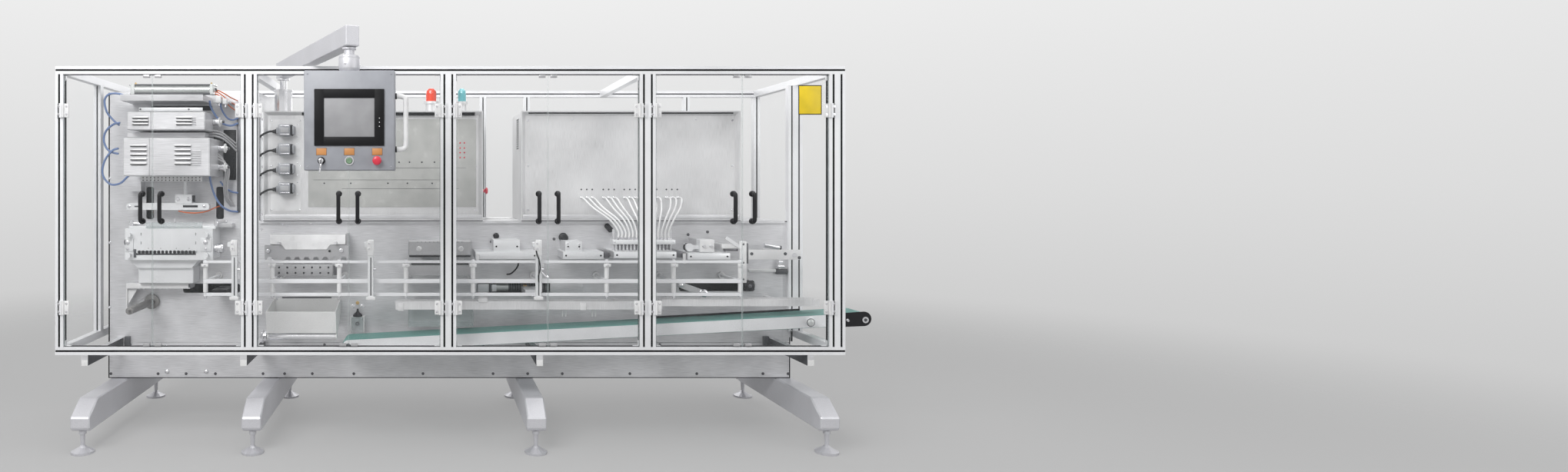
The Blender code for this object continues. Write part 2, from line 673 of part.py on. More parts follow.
def make_face_plate():
    """Upright plate that carries the stations, with its openings, ledge and consoles."""
    edge = [
        (BASE_LEFT, PLATE_BOTTOM),
        (PLATE_RIGHT, PLATE_BOTTOM),
        (PLATE_RIGHT, PLATE_TOP),
        (TOWER_RIGHT, PLATE_TOP),
        (TOWER_RIGHT, TOWER_TOP),
        (BASE_LEFT, TOWER_TOP),
    ]
    loops = [edge]
    for span, height in (FEED_OPENING, DRIVE_OPENING, CRANK_OPENING, SLOT_LEFT, SLOT_RIGHT):
        loops.append(rounded(span, height, 0.012))
    for along, up, radius in (HOLE_OVER_VENT, HOLE_OVER_PROBE):
        loops.append(arc((along, up), radius, 0, 345, 23))
    shapes = [outline(loops, PLATE_THICKNESS, PLATE_FRONT + PLATE_THICKNESS / 2)]
    rear = PLATE_FRONT + 0.004
    ledge_up = (PLATE_TOP - 0.001, LEDGE_TOP - GAP)
    ledge_left = TOWER_RIGHT + GAP
    ledge_back = (PLATE_FRONT - LEDGE_REACH, PLATE_FRONT + PLATE_THICKNESS)
    shapes.append(block((ledge_left, PLATE_RIGHT), ledge_back, ledge_up))
    shapes.append(block(LEDGE_SPAN, (PLATE_FRONT - 0.06, rear), (PLATE_TOP - 0.022, PLATE_TOP)))
    shapes.append(block(SHELF_SPAN, (SHELF_FRONT, rear), SHELF_UP))
    for span, height, front in (*STATION_BASES, *STATION_BLOCKS):
        shapes.append(block(span, (front, rear), height))
    for span, height in ((PREHEAT_SPAN, PREHEAT_UP), (MARK_SPAN, MARK_UP), (SEAL_SPAN, SEAL_UP)):
        shapes.append(block(span, (CONSOLE_FRONT, rear), height))
    for rods, height in ((PREHEAT_RODS, PREHEAT_UP), (MARK_RODS, MARK_UP), (SEAL_RODS, SEAL_UP)):
        middle = (height[0] + height[1]) / 2
        for along in rods:
            front = at(along, CONSOLE_FRONT - 0.055 - JAW_STROKE, middle)
            shapes.append(rod(front, at(along, CONSOLE_FRONT + 0.01, middle), ROD_RADIUS))
    shapes.append(block(FILL_SPAN, (FILL_BACK - 0.030, rear), FILL_BASE_UP))
    for along in (FILL_SPAN[0] + FILL_ROD_INSET, FILL_SPAN[1] - FILL_ROD_INSET):
        foot = at(along, FILL_ROD_BACK, FILL_BASE_UP[1] - 0.005)
        shapes.append(rod(foot, at(along, FILL_ROD_BACK, FILL_ROD_TOP), ROD_RADIUS))
    pivot = at(CUTTER_PIVOT[0], rear, CUTTER_PIVOT[1])
    pivot_front = at(CUTTER_PIVOT[0], CONSOLE_FRONT - 0.075, CUTTER_PIVOT[1])
    shapes.append(rod(pivot_front, pivot, CUTTER_PIN_RADIUS, ROUND_SIDES))
    arm_span, arm_up = BRACKET_ARM
    shapes.append(block(arm_span, (BRACKET_FRONT, rear), arm_up))
    gusset = [
        (arm_span[0], arm_up[0] + 0.001),
        (arm_span[0], arm_up[0] - 0.10),
        (arm_span[0] + 0.012, arm_up[0] - 0.10),
        (arm_span[0] + 0.16, arm_up[0] + 0.001),
    ]
    shapes.append(outline([gusset], 0.010, PLATE_FRONT - 0.003))
    for along, height in ((0.265, 1.36),):
        shapes.append(block((along - 0.055, along + 0.02), (0.42, rear), (height - 0.04, height + 0.04)))
    slot_inset = 0.006
    slot = block(
        (FILL_SPAN[0] + slot_inset, FILL_SPAN[1] - slot_inset),
        (FILL_BACK - 0.010, FILL_BACK + 0.010),
        (FILL_BASE_UP[0] - 0.01, FILL_BASE_UP[1] + 0.01),
    )
    part("face_plate", STEEL, shapes, [slot])


make_face_plate()


def make_cabinet(name, span):
    """Electrical cabinet of sheet, open below, with a sunk front panel behind mitred edges."""
    low = LEDGE_TOP + GAP
    cabinet = block(span, (CABINET_FRONT, CABINET_FRONT + CABINET_DEPTH), (low, low + CABINET_HEIGHT))
    builder = bmesh.new()
    builder.from_mesh(cabinet.data)
    front = [face for face in builder.faces if face.normal.y < -0.9]
    bmesh.ops.inset_region(builder, faces=front, thickness=CABINET_LIP)
    bmesh.ops.inset_region(builder, faces=front, thickness=CABINET_MITRE, depth=-CABINET_RECESS)
    builder.to_mesh(cabinet.data)
    builder.free()
    inside = (CABINET_FRONT + CABINET_RECESS + SHELL, CABINET_FRONT + CABINET_DEPTH - SHELL)
    hollow = block((span[0] + SHELL, span[1] - SHELL), inside, (low - 0.01, low + CABINET_HEIGHT - SHELL))
    part(name, STEEL, [cabinet], [hollow])


CABINET_TOP = LEDGE_TOP + GAP + CABINET_HEIGHT
SUNK_FRONT = CABINET_FRONT + CABINET_RECESS
CONNECTOR_INSET = 0.005
CONNECTOR_WIDTH = 0.173
CONNECTOR_START = CABINET_LEFT_SPAN[0] + CABINET_LIP + CABINET_MITRE + CONNECTOR_INSET
CONNECTOR_SPAN = (CONNECTOR_START, CONNECTOR_START + CONNECTOR_WIDTH)
PLUG_INSET = 0.065
PLUG_WIDTH = 0.074
CONNECTOR_UP = (1.208, 1.727)
CONNECTOR_HEIGHTS = (1.663, 1.556, 1.445, 1.337)


def make_connector_panel():
    """White plate on the left cabinet with four plug housings and their glands."""
    plate_rear = SUNK_FRONT - GAP
    plate = block(CONNECTOR_SPAN, (plate_rear - 0.003, plate_rear), CONNECTOR_UP)
    shapes = [plate]
    for height in CONNECTOR_HEIGHTS:
        plug = (CONNECTOR_START + PLUG_INSET, CONNECTOR_START + PLUG_INSET + PLUG_WIDTH)
        collar = (plug[0] - 0.012, plug[0] + 0.008)
        shapes.append(block(plug, (plate_rear - 0.045, plate_rear - 0.002), (height - 0.022, height + 0.022), 0.004))
        shapes.append(block(collar, (plate_rear - 0.052, plate_rear - 0.002), (height - 0.029, height + 0.029), 0.003))
        gland = at(plug[0] - 0.010, plate_rear - 0.026, height)
        shapes.append(rod(at(plug[0] - 0.032, plate_rear - 0.026, height - 0.006), gland, 0.011))
    part("connector_panel", WHITE, shapes)


def make_beacon(name, look, along, radius):
    """Signal lamp on the left cabinet: base ring and domed lens."""
    base = 0.063
    top = 1.917 - CABINET_TOP
    profile = [
        (0.0, top),
        (radius * 0.55, top - 0.003),
        (radius * 0.92, top - 0.016),
        (radius, top - 0.032),
        (radius, base),
        (radius * 1.12, base),
        (radius * 1.12, base - 0.010),
        (radius * 0.86, base - 0.014),
        (radius * 0.86, GAP + 0.006),
        (radius * 1.25, GAP + 0.006),
        (radius * 1.25, GAP),
        (0.0, GAP),
    ]
    part(name, look, [turned(profile, at(along, 0.60, CABINET_TOP), UP, 16)])


make_cabinet("cabinet_left", CABINET_LEFT_SPAN)
make_cabinet("cabinet_right", CABINET_RIGHT_SPAN)
make_connector_panel()
make_beacon("beacon_red", BEACON_RED, CABINET_LEFT_SPAN[1] - BEACON_RED_INSET, 0.031)
make_beacon("beacon_teal", BEACON_TEAL, CABINET_LEFT_SPAN[1] - BEACON_TEAL_INSET, 0.024)

ARM_DIRECTION = Vector((ARM_DROP_ALONG - ARM_PIVOT_ALONG, ARM_DROP_BACK - ARM_PIVOT_BACK, 0)).normalized()
PIVOT_LENGTH = ARM_BOTTOM - CABINET_TOP
DRUM_RADIUS = 0.050
DRUM_HEIGHT = 0.118
POST_RADIUS = 0.020
START_RADIUS = 0.0145
STOP_STEM_RADIUS = 0.0115
STOP_HEAD_RADIUS = 0.020
BUTTON_HEIGHT = 1.461
BUTTON_INSET = 0.078
KEY_ALONG = PANEL_SPAN[0] + BUTTON_INSET
START_ALONG = PANEL_CENTRE
STOP_ALONG = PANEL_SPAN[1] - BUTTON_INSET
BUTTON_RING = 0.004
PANEL_HANDLE_REACH = 0.055
PANEL_HANDLE_RADIUS = 0.008
PANEL_HANDLE_TOP = 1.750
PANEL_HANDLE_BOTTOM = 1.513
BEZEL_INSET = 0.047
BEZEL_SPAN = (PANEL_SPAN[0] + BEZEL_INSET, PANEL_SPAN[1] - BEZEL_INSET)
BEZEL_UP = (1.527, 1.777)
SCREEN_INSET = 0.042
SCREEN_SPAN = (BEZEL_SPAN[0] + SCREEN_INSET, BEZEL_SPAN[1] - SCREEN_INSET)
SCREEN_UP = (1.565, 1.738)
BORE_DEPTH = 0.024


def make_arm():
    """Pivot drum on the cabinet and the box beam that swings on it."""
    profile = [
        (0.0, PIVOT_LENGTH - GAP),
        (0.036, PIVOT_LENGTH - GAP),
        (0.036, PIVOT_LENGTH - 0.012),
        (POST_RADIUS, PIVOT_LENGTH - 0.016),
        (POST_RADIUS, DRUM_HEIGHT + 0.010),
        (DRUM_RADIUS + 0.006, DRUM_HEIGHT + 0.010),
        (DRUM_RADIUS + 0.006, DRUM_HEIGHT),
        (DRUM_RADIUS, DRUM_HEIGHT),
        (DRUM_RADIUS, 0.008),
        (DRUM_RADIUS + 0.006, 0.008),
        (DRUM_RADIUS + 0.006, GAP),
        (0.0, GAP),
    ]
    pivot = at(ARM_PIVOT_ALONG, ARM_PIVOT_BACK, CABINET_TOP)
    part("arm_post", STEEL, [turned(profile, pivot, UP)])
    start = at(ARM_PIVOT_ALONG, ARM_PIVOT_BACK, ARM_BOTTOM)
    reach = (Vector((ARM_DROP_ALONG, ARM_DROP_BACK, 0)) - Vector((ARM_PIVOT_ALONG, ARM_PIVOT_BACK, 0))).length
    builder = bmesh.new()
    bmesh.ops.create_cube(builder, size=1.0)
    length = reach + 2 * ARM_OVERHANG
    bmesh.ops.scale(builder, verts=builder.verts, vec=(length, ARM_WIDTH, ARM_HEIGHT))
    bmesh.ops.bevel(builder, geom=builder.edges[:], offset=0.004, segments=2, profile=0.5, affect="EDGES")
    turn = Matrix.Rotation(math.atan2(ARM_DIRECTION.y, ARM_DIRECTION.x), 4, "Z")
    middle = start + ARM_DIRECTION * reach / 2 + UP * ARM_HEIGHT / 2
    bmesh.ops.transform(builder, verts=builder.verts, matrix=Matrix.Translation(middle) @ turn)
    part("swing_arm", STEEL, [shape_from(builder)], origin=start)


def make_operator_panel():
    """Operator box with its drop tube, collar and side handle, and the controls in it."""
    rear = PANEL_FRONT + PANEL_DEPTH
    drop = at(ARM_DROP_ALONG, ARM_DROP_BACK, 0)
    box = block(PANEL_SPAN, (PANEL_FRONT, rear), (PANEL_BOTTOM, PANEL_TOP), 0.006)
    neck = [
        (0.0, ARM_BOTTOM - GAP),
        (0.032, ARM_BOTTOM - GAP),
        (0.032, ARM_BOTTOM - 0.010),
        (0.024, ARM_BOTTOM - 0.012),
        (0.024, PANEL_TOP + 0.074),
        (0.045, PANEL_TOP + 0.070),
        (0.047, PANEL_TOP + 0.012),
        (0.040, PANEL_TOP - 0.002),
        (0.0, PANEL_TOP - 0.002),
    ]
    side = PANEL_SPAN[1]
    handle_back = PANEL_FRONT + PANEL_DEPTH * 0.45
    reach = PANEL_HANDLE_REACH - PANEL_HANDLE_RADIUS
    bend = 2 * PANEL_HANDLE_RADIUS
    points = [
        at(side - 0.004, handle_back, PANEL_HANDLE_TOP),
        at(side + reach - bend, handle_back, PANEL_HANDLE_TOP),
        at(side + reach - bend * 0.3, handle_back, PANEL_HANDLE_TOP - bend * 0.3),
        at(side + reach, handle_back, PANEL_HANDLE_TOP - bend),
        at(side + reach, handle_back, PANEL_HANDLE_BOTTOM + bend),
        at(side + reach - bend * 0.3, handle_back, PANEL_HANDLE_BOTTOM + bend * 0.3),
        at(side + reach - bend, handle_back, PANEL_HANDLE_BOTTOM),
        at(side - 0.004, handle_back, PANEL_HANDLE_BOTTOM),
    ]
    shapes = [box, turned(neck, drop, UP), tube(points, PANEL_HANDLE_RADIUS)]
    cuts = []
    for along, ring in ((START_ALONG, 0.020), (STOP_ALONG, 0.019)):
        face = at(along, PANEL_FRONT, BUTTON_HEIGHT)
        shapes.append(rod(face - BACK * BUTTON_RING, face + BACK * 0.004, ring, ROUND_SIDES))
    start = at(START_ALONG, PANEL_FRONT, BUTTON_HEIGHT)
    cuts.append(bore(start - BACK * 0.02, start + BACK * BORE_DEPTH, START_RADIUS, ROUND_SIDES))
    stop = at(STOP_ALONG, PANEL_FRONT, BUTTON_HEIGHT)
    cuts.append(bore(stop - BACK * 0.02, stop + BACK * BORE_DEPTH, STOP_STEM_RADIUS, ROUND_SIDES))
    part("operator_box", PANEL_GREY, shapes, cuts, origin=at(ARM_DROP_ALONG, ARM_DROP_BACK, ARM_BOTTOM))

    bezel_rear = PANEL_FRONT - GAP
    bezel = block(BEZEL_SPAN, (bezel_rear - 0.006, bezel_rear), BEZEL_UP, 0.002)
    screen = block(SCREEN_SPAN, (bezel_rear - 0.016, bezel_rear - 0.004), SCREEN_UP)
    part("touch_screen", BLACK, [bezel], [screen])

    front = at(0, PANEL_FRONT, 0).y
    barrel = [
        (0.0, 0.011),
        (0.010, 0.011),
        (0.014, 0.007),
        (0.0155, 0.0),
        (0.0, 0.0),
    ]
    lock = turned(barrel, Vector((at(KEY_ALONG, 0, 0).x, front - GAP, BUTTON_HEIGHT)), -BACK, 20)
    key = block(
        (KEY_ALONG - 0.0012, KEY_ALONG + 0.0012),
        (PANEL_FRONT - 0.027, PANEL_FRONT - 0.008),
        (BUTTON_HEIGHT - 0.009, BUTTON_HEIGHT + 0.009),
    )
    part("key_switch", BLACK, [lock, key], origin=at(KEY_ALONG, PANEL_FRONT, BUTTON_HEIGHT))

    cap = [
        (0.0, 0.010),
        (START_RADIUS - 0.002, 0.010),
        (START_RADIUS, 0.008),
        (START_RADIUS, -0.012),
        (0.0, -0.012),
    ]
    part("start_button", GREEN, [turned(cap, start, -BACK, 20)], origin=start)
    head = [
        (0.0, STOP_REACH),
        (STOP_HEAD_RADIUS * 0.7, STOP_REACH - 0.002),
        (STOP_HEAD_RADIUS, STOP_REACH - 0.008),
        (STOP_HEAD_RADIUS, STOP_REACH - 0.014),
        (STOP_STEM_RADIUS, STOP_REACH - 0.017),
        (STOP_STEM_RADIUS, -0.012),
        (0.0, -0.012),
    ]
    part("stop_button", RED, [turned(head, stop, -BACK, 20)], origin=stop)


make_arm()
make_operator_panel()

# First bay: heater covers, air cylinder, clamp bar and forming dies.
COVER_FRONT = 0.20
CYLINDER_BACK = 0.34
CYLINDER_SPAN = (0.267, 0.717)
CYLINDER_RADIUS = 0.026
CYLINDER_CAP = 0.059
UPPER_COVER_SPAN = (0.282, 0.696)
UPPER_COVER_UP = (1.650, 1.746)
LOWER_COVER_SPAN = (0.268, 0.727)
LOWER_COVER_UP = (1.403, 1.606)
STRIP_SPAN = (0.327, 0.661)
STRIP_BOTTOM = 1.375
STRIP_FRONT = 0.30
CLAMP_ROD_ALONG = 0.538
CLAMP_ROD_RADIUS = 0.0105
CLAMP_BAR_SPAN = (0.215, 0.676)
CLAMP_BAR_UP = (1.218, 1.256)
CLAMP_BAR_BACK = (0.385, 0.415)
CLAMP_TRAVEL_UP = 0.05
DIE_SPAN = (0.234, 0.714)
DIE_UP = (0.945, 1.118)
DIE_BACK = (0.315, 0.340)
DIE_STROKE = 0.028
DIE_PIN_INSET = 0.030
DIE_PIN_HEIGHTS = (0.975, 1.085)
DIE_PIN_RADIUS = 0.009
DIE_CELLS = 14
DIE_CELL_SPAN = (0.321, 0.627)
DIE_CELL_UP = 0.990
SPINDLE_ALONG = 0.327
SPINDLE_UP = 0.697
SPINDLE_FRONT = 0.10


def louvres(span, front, bottom, count, pitch):
    """Row of pressed louvres, as wedges one above the other on a cover's front."""
    wedges = []
    for step in range(count):
        low = bottom + pitch * step
        edge = [
            (front + 0.002, low),
            (front - 0.005, low + 0.001),
            (front + 0.002, low + pitch * 0.72),
        ]
        wedges.append(outline([edge], span[1] - span[0], (span[0] + span[1]) / 2, side_view=True))
    return wedges


def make_heater_covers():
    """Two louvred covers one above the other, with the perforated strip under the lower one."""
    rear = PLATE_FRONT - GAP
    inset = 0.046
    wide = 0.070
    upper = block(UPPER_COVER_SPAN, (COVER_FRONT + 0.02, rear), UPPER_COVER_UP, 0.004)
    left = UPPER_COVER_SPAN[0] + inset
    right = UPPER_COVER_SPAN[1] - inset
    shapes = [upper]
    for span in ((left, left + wide), (right - wide, right)):
        shapes += louvres(span, COVER_FRONT + 0.02, UPPER_COVER_UP[0] + 0.026, 4, 0.012)
    part("upper_cover", STEEL, shapes)
    lower = block(LOWER_COVER_SPAN, (COVER_FRONT, rear), LOWER_COVER_UP, 0.005)
    neck = block((0.29, 0.64), (SHELF_FRONT + 0.03, rear), (LOWER_COVER_UP[1] - 0.002, 1.616))
    flange = block((0.252, 0.674), (SHELF_FRONT, rear), (1.613, 1.642), 0.002)
    strip = block(STRIP_SPAN, (STRIP_FRONT, rear), (STRIP_BOTTOM, LOWER_COVER_UP[0] + 0.004))
    shapes = [lower, neck, flange, strip]
    left = LOWER_COVER_SPAN[0] + inset
    right = LOWER_COVER_SPAN[1] - inset
    for span in ((left, left + wide), (right - wide, right)):
        shapes += louvres(span, COVER_FRONT, LOWER_COVER_UP[0] + 0.055, 7, 0.0125)
    rod_back = (CLAMP_BAR_BACK[0] + CLAMP_BAR_BACK[1]) / 2
    foot = at(CLAMP_ROD_ALONG, rod_back, STRIP_BOTTOM - 0.01)
    part("lower_cover", STEEL, shapes, [bore(foot, foot + UP * 0.13, CLAMP_ROD_RADIUS)])


def make_air_cylinder():
    """Air cylinder lying on its shelf: tube, square end caps and four tie rods."""
    middle = SHELF_UP[1] + GAP + CYLINDER_CAP / 2
    half = CYLINDER_CAP / 2
    left, right = CYLINDER_SPAN
    shapes = [rod(at(left + 0.01, CYLINDER_BACK, middle), at(right - 0.01, CYLINDER_BACK, middle), CYLINDER_RADIUS, 20)]
    for span in ((left, left + 0.022), (right - 0.022, right)):
        up = (middle - half, middle + half)
        shapes.append(block(span, (CYLINDER_BACK - half, CYLINDER_BACK + half), up, 0.003))
    offset = half - 0.0065
    for back in (CYLINDER_BACK - offset, CYLINDER_BACK + offset):
        for up in (middle - offset, middle + offset):
            shapes.append(rod(at(left - 0.004, back, up), at(right + 0.004, back, up), 0.004, 8))
    part("air_cylinder", BRIGHT_STEEL, shapes)


def make_clamp_bar():
    """Bar that slides up and down in the left slot, on a rod from the heater above."""
    back = (CLAMP_BAR_BACK[0] + CLAMP_BAR_BACK[1]) / 2
    thick = CLAMP_BAR_BACK[1] - CLAMP_BAR_BACK[0]
    bar = outline([rounded(CLAMP_BAR_SPAN, CLAMP_BAR_UP, 0.018)], thick, back)
    head = block((0.490, 0.579), (CLAMP_BAR_BACK[0] - 0.006, CLAMP_BAR_BACK[1] + 0.004), (CLAMP_BAR_UP[1] - 0.003, 1.303))
    foot = at(CLAMP_ROD_ALONG, back, 1.285)
    shaft = rod(foot, at(CLAMP_ROD_ALONG, back, STRIP_BOTTOM + 0.050), CLAMP_ROD_RADIUS)
    span = (SLOT_LEFT[0][0] + GAP, SLOT_LEFT[0][1] - GAP)
    lug = block(span, (CLAMP_BAR_BACK[1] - 0.004, BODY_FRONT + 0.03), (CLAMP_BAR_UP[0] + 0.006, CLAMP_BAR_UP[1] - 0.006))
    origin = at(CLAMP_ROD_ALONG, back, CLAMP_BAR_UP[1])
    part("clamp_bar", BRIGHT_STEEL, [head, bar, lug, shaft], origin=origin)


def make_forming_dies():
    """Fixed die with its guide pins, outlet funnel and block, and the front die on the pins."""
    rear = PLATE_FRONT - GAP
    pins = (DIE_SPAN[0] + DIE_PIN_INSET, DIE_SPAN[1] - DIE_PIN_INSET)
    fixed_front = DIE_BACK[1] + GAP
    fixed = block((DIE_SPAN[0] + 0.004, DIE_SPAN[1] - 0.004), (fixed_front, rear), (DIE_UP[0] + 0.006, DIE_UP[1] - 0.004))
    funnel_edge = [
        (0.248, DIE_UP[0] + 0.008),
        (0.248, DIE_UP[0] - 0.004),
        (0.292, 0.900),
        (0.588, 0.900),
        (0.624, DIE_UP[0] - 0.004),
        (0.624, DIE_UP[0] + 0.008),
    ]
    funnel = outline([funnel_edge], 0.10, 0.40)
    outlet = block((0.288, 0.592), (0.37, rear), (BRACKET_ARM[1][1] + GAP, 0.904), 0.004)
    shapes = [fixed, funnel, outlet]
    head_rear = DIE_BACK[0] - DIE_STROKE - GAP
    for along in pins:
        for up in DIE_PIN_HEIGHTS:
            shapes.append(rod(at(along, head_rear - 0.002, up), at(along, fixed_front + 0.01, up), DIE_PIN_RADIUS))
            shapes.append(rod(at(along, head_rear - 0.012, up), at(along, head_rear, up), 0.016, 6))
    part("forming_base", STEEL, shapes)
    die = block(DIE_SPAN, DIE_BACK, DIE_UP, 0.002)
    cuts = []
    for along in pins:
        for up in DIE_PIN_HEIGHTS:
            cuts.append(bore(at(along, DIE_BACK[0] - 0.01, up), at(along, DIE_BACK[1] + 0.01, up), DIE_PIN_RADIUS))
    for cell in range(DIE_CELLS):
        along = DIE_CELL_SPAN[0] + (DIE_CELL_SPAN[1] - DIE_CELL_SPAN[0]) * cell / (DIE_CELLS - 1)
        cuts.append(rod(at(along, DIE_BACK[0] - 0.01, DIE_CELL_UP), at(along, DIE_BACK[0] + 0.012, DIE_CELL_UP), 0.007, 8))
    part("forming_die", STEEL, [die], cuts, origin=at(DIE_SPAN[0], DIE_BACK[0], DIE_UP[0]))


def make_spindle():
    """Film spindle that stands out from the face plate."""
    length = PLATE_FRONT - GAP - SPINDLE_FRONT
    profile = [
        (0.0, length),
        (0.008, length),
        (0.008, length - 0.030),
        (0.020, length - 0.032),
        (0.020, 0.022),
        (0.042, 0.020),
        (0.042, 0.008),
        (0.026, 0.0),
        (0.0, 0.0),
    ]
    base = at(SPINDLE_ALONG, PLATE_FRONT - GAP, SPINDLE_UP)
    part("film_spindle", BRIGHT_STEEL, [turned(profile, base, -BACK, 20)], origin=base)


make_heater_covers()
make_air_cylinder()
make_clamp_bar()
make_forming_dies()
make_spindle()

RAIL_SPAN = (0.697, 3.554)
RAIL_POSTS = 9
TOP_RAIL_UP = (0.942, 0.954)
MIDDLE_RAIL_UP = (0.836, 0.856)
LOW_RAIL_UP = (0.767, 0.783)
RAIL_POST_RADIUS = 0.009
CARRIER_RADIUS = 0.008
GRIPPERS = (0.87, 1.586, 2.467)
GRIPPER_WIDTH = 0.030
GRIPPER_UP = (0.7495, 1.067)
GRIPPER_BACK = (0.150, 0.168)
CARRIAGE_UP = (0.7495, 0.7645)
CARRIAGE_BACK = (0.330, 0.350)
SLIDE_BLOCKS = ((0.700, 0.780), (2.420, 2.510))


def make_rails():
    """Guide rails for the bottle strip on nine posts, each carried from the face plate."""
    span = RAIL_SPAN
    first = span[0] + RAIL_POST_RADIUS
    pitch = (span[1] - span[0] - 2 * RAIL_POST_RADIUS) / (RAIL_POSTS - 1)
    half = RAIL_DEPTH / 2
    shapes = [
        block(span, (RAIL_BACK - half, RAIL_BACK - half + 0.007), TOP_RAIL_UP),
        block(span, (RAIL_BACK + half - 0.007, RAIL_BACK + half), TOP_RAIL_UP),
        block(span, (RAIL_BACK - half * 0.8, RAIL_BACK + half * 0.8), MIDDLE_RAIL_UP),
        block(span, (RAIL_BACK - half * 0.4, RAIL_BACK + half * 0.4), LOW_RAIL_UP),
    ]
    carrier_up = (MIDDLE_RAIL_UP[0] + MIDDLE_RAIL_UP[1]) / 2
    for step in range(RAIL_POSTS):
        along = first + pitch * step
        foot = at(along, RAIL_BACK, LOW_RAIL_UP[0] - 0.001)
        shapes.append(rod(foot, at(along, RAIL_BACK, TOP_RAIL_UP[1] + 0.004), RAIL_POST_RADIUS, 8))
        carrier = at(along, RAIL_BACK, carrier_up)
        shapes.append(rod(carrier, at(along, PLATE_FRONT - GAP, carrier_up), CARRIER_RADIUS, 6))
    part("guide_rails", BRIGHT_STEEL, shapes)


def make_carriage():
    """Feed carriage: a bar along the machine with three upright grippers before the rails."""
    bar = block((SLIDE_BLOCKS[0][0], SLIDE_BLOCKS[1][1]), CARRIAGE_BACK, CARRIAGE_UP)
    shapes = [bar]
    for opening, span in zip((FEED_OPENING, DRIVE_OPENING), SLIDE_BLOCKS):
        low = opening[1][0] + GAP
        shapes.append(block(span, (CARRIAGE_BACK[1] - 0.004, BODY_FRONT + 0.08), (low, low + 0.034)))
    for along in GRIPPERS:
        span = (along - GRIPPER_WIDTH / 2, along + GRIPPER_WIDTH / 2)
        shapes.append(block(span, (GRIPPER_BACK[0], CARRIAGE_BACK[0] + 0.004), CARRIAGE_UP))
        shapes.append(block(span, GRIPPER_BACK, GRIPPER_UP, 0.002))
        shapes.append(block((along - 0.034, along + 0.010), (GRIPPER_BACK[0] - 0.008, GRIPPER_BACK[1] + 0.006), (1.030, 1.056), 0.002))
    part("feed_carriage", WHITE, shapes, origin=at(SLIDE_BLOCKS[0][0], CARRIAGE_BACK[0], CARRIAGE_UP[0]))


def make_press(name, rods, rod_height, blocks, cuts=(), look=STEEL):
    """Front jaw of a station, bored for the two rods that it slides on."""
    bores = []
    for along in rods:
        start = at(along, CONSOLE_FRONT - 0.15, rod_height)
        bores.append(bore(start, at(along, CONSOLE_FRONT + 0.02, rod_height), ROD_RADIUS))
    part(name, look, blocks, [*bores, *cuts], origin=at(rods[0], CONSOLE_FRONT, rod_height))


def make_preheat_press():
    """Preheating jaw: upper block, scalloped plate and the bored die under it."""
    rear = CONSOLE_FRONT - GAP
    front = rear - 0.055
    middle = (PREHEAT_UP[0] + PREHEAT_UP[1]) / 2
    upper = block(PREHEAT_SPAN, (rear - 0.030, rear), PREHEAT_UP, 0.002)
    left, right = PREHEAT_SPAN[0] - 0.029, PREHEAT_SPAN[1] + 0.015
    low, high = PREHEAT_UP[0] - 0.048, PREHEAT_UP[0] + 0.032
    notch_radius = 0.017
    notches = 9
    pitch = (right - left) / notches
    edge = [(left, high), (left, low)]
    for step in range(notches):
        centre = (left + pitch * (step + 0.5), low)
        edge += arc(centre, notch_radius, 180, 0, 6)
    edge += [(right, low), (right, high)]
    scalloped = outline([edge], 0.012, rear - 0.032)
    webs = [block((along - 0.02, along + 0.02), (rear - 0.036, rear - 0.018), (0.915, 1.01)) for along in PREHEAT_RODS]
    die_span = (PREHEAT_SPAN[0] + 0.027, PREHEAT_SPAN[1] - 0.070)
    hole_inset = 0.024
    hole_pitch = (die_span[1] - die_span[0] - 2 * hole_inset) / 6
    die = block(die_span, (front + 0.010, rear - 0.015), (MIDDLE_RAIL_UP[1] + RUNNING_GAP, 0.923), 0.002)
    cuts = []
    for row in (0.876, 0.906):
        for step in range(7):
            along = die_span[0] + hole_inset + step * hole_pitch
            cuts.append(rod(at(along, front, row), at(along, front + 0.022, row), 0.006, 8))
    make_press("preheat_press", PREHEAT_RODS, middle, [upper, scalloped, *webs, die], cuts)


def make_marking_press():
    """Marking jaw: upper block with two bosses, hanging plate and its cross bar."""
    rear = CONSOLE_FRONT - GAP
    middle = (MARK_UP[0] + MARK_UP[1]) / 2
    upper = block(MARK_SPAN, (rear - 0.045, rear), MARK_UP, 0.003)
    webs = [block((along - 0.018, along + 0.018), (rear - 0.030, rear - 0.012), (0.92, 0.98)) for along in MARK_RODS]
    plate = block(MARK_SPAN, (rear - 0.036, rear - 0.020), (0.859, 0.931), 0.002)
    make_press("marking_press", MARK_RODS, middle, [upper, *webs, plate])


def make_sealing_press():
    """Sealing jaw with its heater barrel beside it."""
    rear = CONSOLE_FRONT - GAP
    middle = (SEAL_UP[0] + SEAL_UP[1]) / 2
    jaw = block(SEAL_SPAN, (rear - 0.060, rear), SEAL_UP, 0.003)
    barrel_along = SEAL_SPAN[0] - 0.054
    barrel_up = SEAL_UP[0] + 0.026
    barrel_start = at(barrel_along, rear - 0.058, barrel_up)
    barrel = rod(barrel_start, at(barrel_along, rear, barrel_up), 0.022, 20)
    link_span = (barrel_along + 0.009, SEAL_SPAN[0] + 0.004)
    link = block(link_span, (rear - 0.040, rear - 0.012), (barrel_up - 0.010, barrel_up + 0.010))
    make_press("sealing_press", SEAL_RODS, middle, [jaw, barrel, link])


NOZZLES = 15
NOZZLE_RADIUS = 0.0032
MANIFOLD_UP = (1.036, 1.060)
TUBE_RADIUS = 0.004
TUBE_GROUP_CENTRES = (2.784, 2.908, 3.027, 3.148, 3.265)
TUBE_GROUP_SPREAD = 0.031
TUBE_OUTLET_UP = 1.285


